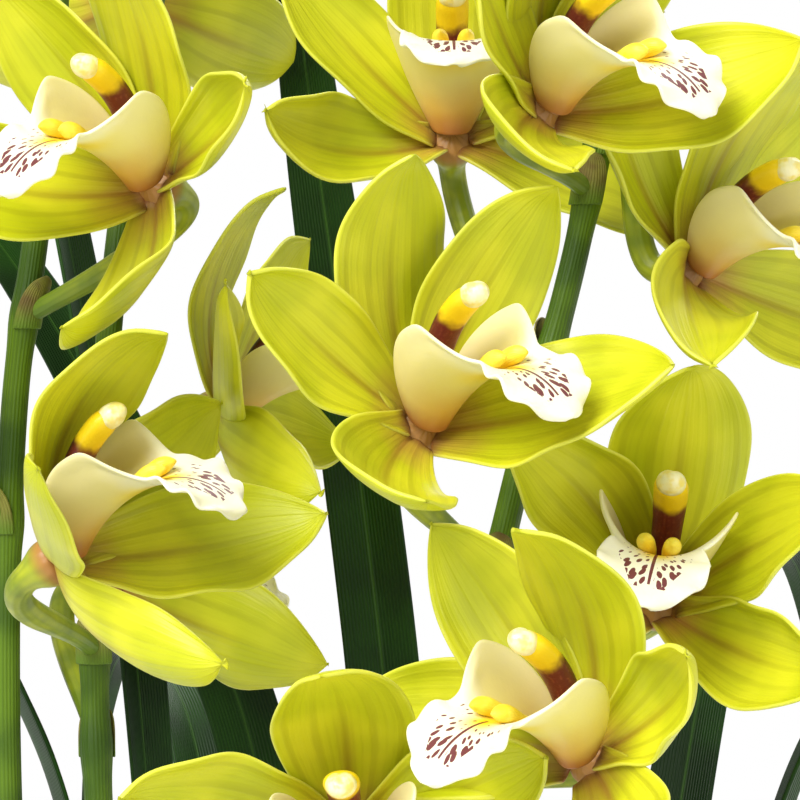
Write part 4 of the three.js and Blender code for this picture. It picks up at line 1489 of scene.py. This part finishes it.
        def around(u: float, degrees: float) -> float:
            """The radius at a point of the skin.

            Args:
                u: The share of the way along.
                degrees: The angle round.

            Returns:
                The radius.
            """
            stalk = self.pedicel_diameter / 2 * 0.8
            k = (u - 0.45) / 0.55
            if k <= 0:
                return stalk
            belly = self.bud_diameter / 2 * math.sin(math.pi * k**0.8) ** 0.7
            seams = 1 - 0.09 * abs(math.sin(math.radians(degrees * 1.5 + 90))) ** 6
            return max(0.3, stalk * (1 - ramp(k, 0, 0.3)), belly * seams)

        mesh = new_mesh()
        add_tube(mesh, path, self.bud_sides, around)
        finish_piece(f"bud_{index + 1}_of_{self.plan.name}", mesh, Slot.STEM, finishes.bud, (self.plan.name,))

    def make_bracts(self, finishes: Finishes) -> None:
        """Small scales under the flower stems, and long clasping sheaths on the lower scape.

        Args:
            finishes: The plant's materials.
        """
        mesh = new_mesh()
        for flower in self.flowers:
            start = self.leaving_point(flower.plan.leaves)
            towards = flower.origin - start
            self.add_scale(mesh, start - UP * 3, towards, 13, 80)
        for bud in self.plan.buds:
            self.add_scale(mesh, self.leaving_point(bud.rise) - UP * 3,
                           in_plan(bud.turn), 11, 80)
        for rise, degrees in SHEATHS:
            towards = in_plan(degrees)
            self.add_scale(mesh, self.leaving_point(rise), towards, self.sheath_length, self.sheath_wrap)
        finish_piece(f"bracts_of_{self.plan.name}", mesh, Slot.STEM, finishes.bract, (), 0.5, 1)

    def add_scale(self, mesh: bmesh.types.BMesh, foot: Vector, towards: Vector, length: float,
                  wrap: float) -> None:
        """Adds a pointed scale that clasps the scape.

        Args:
            mesh: Where it goes.
            foot: The point of the scape's centre line at its foot.
            towards: The side it stands on.
            length: Its length up the scape.
            wrap: Half the arc that its foot clasps, in degrees.
        """
        out = Vector((towards.x, towards.y, 0)).normalized()
        side = UP.cross(out)
        radius = self.radius((foot.z - BARK_TOP) / (self.path[-1].z - BARK_TOP)) * 1.04

        def shape(_row: int, u: float, v: float) -> Vector:
            """The place of a point of the sheet.

            Args:
                _row: The step along.
                u: The share of the way along.
                v: The place across, from -1 to 1.

            Returns:
                The point.
            """
            centre = at_height(self.path, foot.z + length * u)
            narrow = math.sqrt(max(0.0004, 1 - u**1.6))
            reach = radius * 1.1 + 0.5 + 1.6 * u * u + (0.6 if length > 30 else 0.0) * u
            return centre + between(out, side, wrap * narrow * v) * reach

        add_sheet(mesh, 14, 10, shape)


# ---- leaves and bulbs ----
@dataclass
class Bulb:
    """A pseudobulb with its dry sheaths."""

    side: str
    sunk: float = 0.2

    def __post_init__(self) -> None:
        """Takes its place and size from the frame."""
        low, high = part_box(self.node)
        self.centre = Vector(((low.x + high.x) / 2 / MM, (low.y + high.y) / 2 / MM, 0))
        self.foot, self.top = low.z / MM, high.z / MM
        self.radius = (high.x - low.x) / 2 / MM
        self.half = (self.top - self.foot) / (2 * (1 - self.sunk))
        self.fan = in_plan(FANS[self.side])

    @property
    def node(self) -> str:
        """The CAD node's name."""
        return f"pseudobulb_{self.side}"

    def radius_at(self, z: float) -> float:
        """The egg's radius at a height."""
        rise = (z - (self.top - self.half)) / self.half
        return self.radius * math.sqrt(max(0.0, 1 - rise * rise))

    def height_at(self, reach: float) -> float:
        """The height of the egg's upper side at a distance from its axis."""
        return self.top - self.half + self.half * math.sqrt(max(0.0, 1 - (reach / self.radius) ** 2))

    def build(self, finishes: Finishes) -> None:
        """Makes and dresses the egg and its sheaths.

        Args:
            finishes: The plant's materials.
        """
        steps = 40
        path = [self.centre + UP * (self.foot + (self.top - self.foot - 0.2) * step / steps)
                for step in range(steps + 1)]

        def around(u: float, degrees: float) -> float:
            """The radius at a point of the skin.

            Args:
                u: The share of the way along.
                degrees: The angle round.

            Returns:
                The radius.
            """
            ridge = 0.025 * abs(math.sin(math.radians(degrees * 4.5))) * math.sin(math.pi * min(1.0, u + 0.1))
            return max(1.2, self.radius_at(path[round(u * steps)].z) * (0.985 - ridge))

        mesh = new_mesh()
        add_tube(mesh, path, 40, around)
        finish_piece(f"bulb_{self.side}", mesh, Slot.BULB, finishes.bulb, (self.node,))
        self.make_sheaths(finishes)

    def make_sheaths(self, finishes: Finishes) -> None:
        """Overlapping papery leaf bases that clasp the egg from both sides of its fan.

        Args:
            finishes: The plant's materials.
        """
        mesh = new_mesh()
        turned = random.Random(self.side)
        for layer, (way, share) in enumerate(((1, 1.0), (-1, 0.94), (1, 0.66), (-1, 0.5))):
            self.add_sheath(mesh, layer, way, share, turned)
        finish_piece(f"sheaths_{self.side}", mesh, Slot.BULB, finishes.sheath, (), 0.45, 1)

    def add_sheath(self, mesh: bmesh.types.BMesh, layer: int, way: int, share: float,
                   turned: random.Random) -> None:
        """Adds one sheath, with a ragged upper edge.

        Args:
            mesh: Where it goes.
            layer: Its place from the outside in.
            way: Which side of the fan it stands on, 1 or -1.
            share: How much of the egg's height it covers.
            turned: Where its lean and the shape of its edge come from.
        """
        out = self.fan * way
        side = UP.cross(out)
        lean = turned.uniform(-12, 12)
        ragged = turned.uniform(0, 360)

        def shape(_row: int, u: float, v: float) -> Vector:
            """The place of a point of the sheet.

            Args:
                _row: The step along.
                u: The share of the way along.
                v: The place across, from -1 to 1.

            Returns:
                The point.
            """
            edge = 1 - 0.42 * v * v + 0.03 * math.sin(math.radians(900 * v + ragged))
            z = self.foot + (self.top - self.foot) * share * u * edge
            narrow = 1 - 0.45 * ramp(u, 0.55, 1.0)
            reach = self.radius_at(z) + 0.7 + 0.165 * (4 - layer) + 1.2 * (1 - share) * u
            return self.centre + between(out, side, lean + 104 * narrow * v) * reach + UP * z

        add_sheet(mesh, 22, 26, shape)


@dataclass
class Leaf:
    """A folded strap leaf that rises from its bulb and arches over."""

    plan: LeafPlan
    bulb: Bulb
    width: float = 20
    thickness: float = 1.3
    fold: float = 3.5
    neck: float = 0.42
    spacing: float = 7
    straight_rise: float = 14
    steps: int = 84
    columns: int = 12

    def build(self, finishes: Finishes) -> None:
        """Makes and dresses the leaf.

        Args:
            finishes: The plant's materials.
        """
        wide = in_plan(self.plan.face)
        foot = self.bulb.fan * (self.plan.order * self.spacing)
        start = self.bulb.centre + foot
        start.z = self.bulb.height_at(foot.length) - 1.5
        points = [start, start + UP * self.straight_rise, *(plant_point(p) for p in self.plan.path)]
        path = smooth_path(points, self.steps)
        ahead = directions(path)

        def shape(row: int, u: float, v: float) -> Vector:
            """The place of a point of the sheet.

            Args:
                row: The step along.
                u: The share of the way along.
                v: The place across, from -1 to 1.

            Returns:
                The point.
            """
            side = (wide - ahead[row] * wide.dot(ahead[row])).normalized()
            lift = side.cross(ahead[row])
            neck = self.neck + (1 - self.neck) * min(1.0, u / 0.3) ** 0.8
            taper = 1.0 if u < 0.55 else max(0.01, 1 - ((u - 0.55) / 0.45) ** 2.2)
            half = self.width / 2 * neck * taper
            rise = self.fold * neck * taper * (math.sqrt(v * v + 0.02) - 0.14)
            curl = 0.35 * math.sin(math.radians(1400 * u)) * v * taper
            return path[row] + side * (half * v) + lift * (rise + curl)

        mesh = new_mesh()
        add_sheet(mesh, self.steps, self.columns, shape)
        finish_piece(f"strap_of_{self.plan.name}", mesh, Slot.LEAF, finishes.leaf, (self.plan.name,),
                     self.thickness, 1)


# ---- pot and bark ----
@dataclass
class Pot:
    """The turned pot and the bark in it."""

    wall: float = 5
    floor: float = 6
    rim_height: float = 24
    rim_lip: float = 3
    base_diameter: float = 150
    drain_holes: int = 5
    drain_diameter: float = 12
    steps_round: int = 128
    bed_sides: int = 72
    chips: int = 420
    chip_sizes: tuple[tuple[float, float], ...] = ((7, 17), (5, 10), (2.5, 5))

    def __post_init__(self) -> None:
        """Takes the overall size from the frame."""
        low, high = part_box("pot")
        self.height = high.z / MM
        self.top_radius = (high.x - low.x) / 2 / MM
        self.random = random.Random("bark")

    def taper_radius(self, z: float) -> float:
        """The outside radius of the plain taper at a height."""
        base = self.base_diameter / 2
        return base + (self.top_radius - self.rim_lip - base) * z / self.height

    def build(self, finishes: Finishes, bulbs: list[Bulb], scapes: list[Spike]) -> None:
        """Makes and dresses the pot and the bark."""
        self.make_pot(finishes)
        self.make_bark(finishes, bulbs, scapes)

    def make_pot(self, finishes: Finishes) -> None:
        """Spins the wall, with a soft rim, and cuts the drain holes.

        Args:
            finishes: The plant's materials.
        """
        top, rim = self.height, self.height - self.rim_height
        outline = [(0, 0), (self.taper_radius(0) - 2, 0), (self.taper_radius(0), 1.4),
                   (self.taper_radius(rim), rim), (self.taper_radius(rim) + self.rim_lip - 0.6, rim + 0.8),
                   (self.taper_radius(rim) + self.rim_lip, rim + 1.8),
                   (self.top_radius - 0.4, top - 2.5), (self.top_radius - 1.4, top - 0.5),
                   (self.top_radius - 3.2, top), (self.taper_radius(top) - self.wall + 1.2, top - 0.6),
                   (self.taper_radius(top) - self.wall, top - 2.2),
                   (self.taper_radius(self.floor) - self.wall, self.floor + 2),
                   (self.taper_radius(self.floor) - self.wall - 2, self.floor), (0, self.floor)]
        mesh = new_mesh()
        verts = [mesh.verts.new((radius, 0, z)) for radius, z in outline]
        edges = [mesh.edges.new(pair) for pair in zip(verts, verts[1:])]
        bmesh.ops.spin(mesh, geom=verts + edges, cent=(0, 0, 0), axis=(0, 0, 1), dvec=(0, 0, 0),
                       angle=math.tau, steps=self.steps_round, use_merge=True)
        bmesh.ops.remove_doubles(mesh, verts=mesh.verts, dist=1e-4)
        bmesh.ops.recalc_face_normals(mesh, faces=mesh.faces)
        pot = finish_piece("turned_pot", mesh, Slot.POT, finishes.pot, ("pot",), 0, 0)
        self.cut_drain_holes(pot)

    def cut_drain_holes(self, pot: bpy.types.Object) -> None:
        """Drills the ring of holes through the pot's floor.

        Args:
            pot: The pot.
        """
        mesh = new_mesh()
        ring = self.base_diameter * 0.3
        # A corner of the drill on a spun edge would leave a crack, so the drill is turned a little.
        turned = Matrix.Rotation(math.radians(4), 4, "Z")
        for index in range(self.drain_holes):
            angle = math.tau * index / self.drain_holes + math.pi / 2
            place = Matrix.Translation((ring * math.cos(angle), ring * math.sin(angle), 0)) @ turned
            bmesh.ops.create_cone(mesh, cap_ends=True, segments=32, radius1=self.drain_diameter / 2,
                                  radius2=self.drain_diameter / 2, depth=self.floor * 3, matrix=place)
        mesh.transform(Matrix.Scale(MM, 4))
        data = bpy.data.meshes.new("drill")
        mesh.to_mesh(data)
        mesh.free()
        drill = bpy.data.objects.new("drill", data)
        bpy.context.scene.collection.objects.link(drill)
        cut = pot.modifiers.new("Drain holes", "BOOLEAN")
        cut.object, cut.operation, cut.solver = drill, "DIFFERENCE", "EXACT"
        bpy.context.view_layer.update()
        drilled = bpy.data.meshes.new_from_object(pot.evaluated_get(bpy.context.evaluated_depsgraph_get()))
        pot.modifiers.clear()
        pot.data = drilled
        drilled.set_sharp_from_angle(angle=math.radians(35))
        bpy.data.objects.remove(drill)

    def make_bark(self, finishes: Finishes, bulbs: list[Bulb], spikes: list[Spike]) -> None:
        """A bed of bark with loose chips on top, clear of the bulbs and scapes.

        Args:
            finishes: The plant's materials.
            bulbs: The bulbs that stand in it.
            spikes: The spikes that rise from it.
        """
        bed_top = BARK_TOP - 3
        reach = self.taper_radius(bed_top) - self.wall - 1
        mesh = new_mesh()
        steps = 12
        path = [UP * (self.floor + 1 + (bed_top - self.floor - 1) * step / steps)
                for step in range(steps + 1)]

        def around(u: float, _degrees: float) -> float:
            """The radius inside the wall."""
            return self.taper_radius(path[round(u * steps)].z) - self.wall - 1

        add_tube(mesh, path, self.bed_sides, around)
        keep_out = [(bulb.centre, bulb.radius_at(bulb.foot + 2) - 2) for bulb in bulbs]
        keep_out += [(spike.path[0], spike.radius(0)) for spike in spikes]
        made = 0
        while made < self.chips:
            angle, distance = self.random.uniform(0, math.tau), reach * math.sqrt(self.random.random())
            size = Vector(self.random.uniform(*ends) for ends in self.chip_sizes)
            place = Vector((distance * math.cos(angle), distance * math.sin(angle),
                            BARK_TOP - 2.5 + self.random.uniform(-1.5, 3.5)))
            if distance + size.x / 2 > reach or any(
                    (place.xy - spot.xy).length < radius + size.x * 0.4 for spot, radius in keep_out):
                continue
            self.add_chip(mesh, place, size)
            made += 1
        finish_piece("bark_bed", mesh, Slot.BARK, finishes.bark, ("bark_medium",), 0, 0)

    def add_chip(self, mesh: bmesh.types.BMesh, place: Vector, size: Vector) -> None:
        """Adds one broken chip: a bevelled block with its corners knocked about.

        Args:
            mesh: Where it goes.
            place: Its middle.
            size: Its length, width and height.
        """
        chip = bmesh.ops.create_cube(mesh, size=1)["verts"]
        for vert in chip:
            vert.co = Vector(c * s for c, s in zip(vert.co, size))
            vert.co += Vector(self.random.uniform(-0.16, 0.16) * s for s in size)
        turn = (Matrix.Rotation(self.random.uniform(0, math.tau), 4, "Z")
                @ Matrix.Rotation(math.radians(self.random.uniform(-28, 28)), 4, "X"))
        edges = list({edge for vert in chip for edge in vert.link_edges})
        made = bmesh.ops.bevel(mesh, geom=edges, offset=0.9, segments=1, profile=0.5, affect="EDGES",
                               material=-1)
        bmesh.ops.transform(mesh, matrix=Matrix.Translation(place) @ turn, verts=made["verts"])


# ---- stage ----
@dataclass
class Studio:
    """The pale floor, the soft lights and the camera."""

    floor_radius: float = 4.3
    camera_place: Point = (0, -0.81, 0.64)
    lens: float = 150
    sensor: float = 36
    aim_height: float = 0.62
    white_given: float = 0.48

    def build(self, finishes: Finishes) -> None:
        """Sets the stage.

        Args:
            finishes: The plant's materials.
        """
        mesh = new_mesh()
        bmesh.ops.create_circle(mesh, cap_ends=True, segments=96, radius=self.floor_radius)
        data = bpy.data.meshes.new("floor")
        mesh.to_mesh(data)
        mesh.free()
        data.materials.append(finishes.floor)
        floor = bpy.data.objects.new("floor", data)
        bpy.context.scene.collection.objects.link(floor)
        self.add_light("key softbox", (-0.9, -1.4, 2.0), 1.1, 16)
        self.add_light("fill softbox", (1.5, -1.3, 0.7), 1.4, 9)
        self.add_light("back softbox", (0.5, 1.4, 1.7), 1.2, 20)
        self.add_sky((-0.9, -1.4, 2.0), 3.2)
        self.set_world()
        self.set_camera()

    def add_light(self, name: str, place: Point, size: float, watts: float) -> None:
        """Adds a square softbox that faces the flowers.

        Args:
            name: Its name.
            place: Where it hangs.
            size: The length of its side in metres.
            watts: Its power.
        """
        light = bpy.data.lights.new(name, "AREA")
        light.size, light.energy = size, watts
        self.hang(name, light, place)

    def add_sky(self, place: Point, strength: float) -> None:
        """Adds a broad far light that is as bright at the floor's edge as at the pot.

        Args:
            place: The side that it shines from.
            strength: Its strength in watts per square metre.
        """
        light = bpy.data.lights.new("broad light", "SUN")
        light.angle, light.energy = math.radians(40), strength
        self.hang("broad light", light, place)

    def hang(self, name: str, light: bpy.types.Light, place: Point) -> None:
        """Hangs a light, turned to the flowers and out of the camera's sight.

        Args:
            name: Its name.
            light: What it gives.
            place: Where it hangs.
        """
        lamp = bpy.data.objects.new(name, light)
        bpy.context.scene.collection.objects.link(lamp)
        lamp.location = place
        lamp.visible_camera = False
        aim = UP * self.aim_height - Vector(place)
        lamp.rotation_euler = aim.to_track_quat("-Z", "Y").to_euler()

    def set_world(self) -> None:
        """A white surround that lights softly from all sides."""
        world = bpy.data.worlds.new("white surround")
        bpy.context.scene.world = world
        world.use_nodes = True
        tree = world.node_tree
        seen = add_node(tree, Node.BACKGROUND, "#FFFFFF", 1.0)
        given = add_node(tree, Node.BACKGROUND, "#FFFFFF", self.white_given)
        camera_ray = add_node(tree, Node.RAY, gives="Is Camera Ray")
        surround = add_node(tree, Node.EITHER, camera_ray, given, seen)
        tree.links.new(surround, tree.nodes["World Output"].inputs["Surface"])
        bpy.context.scene.view_settings.view_transform = "Standard"

    def set_camera(self) -> None:
        """Looks level along +Y at the flowers."""
        data = bpy.data.cameras.new("camera")
        data.lens, data.sensor_width = self.lens, self.sensor
        camera = bpy.data.objects.new("camera", data)
        bpy.context.scene.collection.objects.link(camera)
        camera.location = self.camera_place
        camera.rotation_euler = (math.radians(90), 0, 0)
        bpy.context.scene.camera = camera


def main() -> None:
    """Builds the plant in order."""
    logging.basicConfig(level=logging.INFO, format="%(name)s %(message)s")
    finishes = Finishes()
    Studio().build(finishes)
    flowers = [Flower(plan) for plan in FLOWERS]
    for flower in flowers:
        flower.build(finishes)
    spikes = [Spike(plan, [f for f in flowers if f.plan.spike == plan.name]) for plan in SPIKES]
    for spike in spikes:
        spike.build(finishes)
    bulbs = {side: Bulb(side) for side in FANS}
    for bulb in bulbs.values():
        bulb.build(finishes)
    for leaf in LEAVES:
        Leaf(leaf, bulbs[leaf.bulb]).build(finishes)
    Pot().build(finishes, list(bulbs.values()), spikes)
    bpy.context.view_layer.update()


if __name__ == "__main__":
    main()
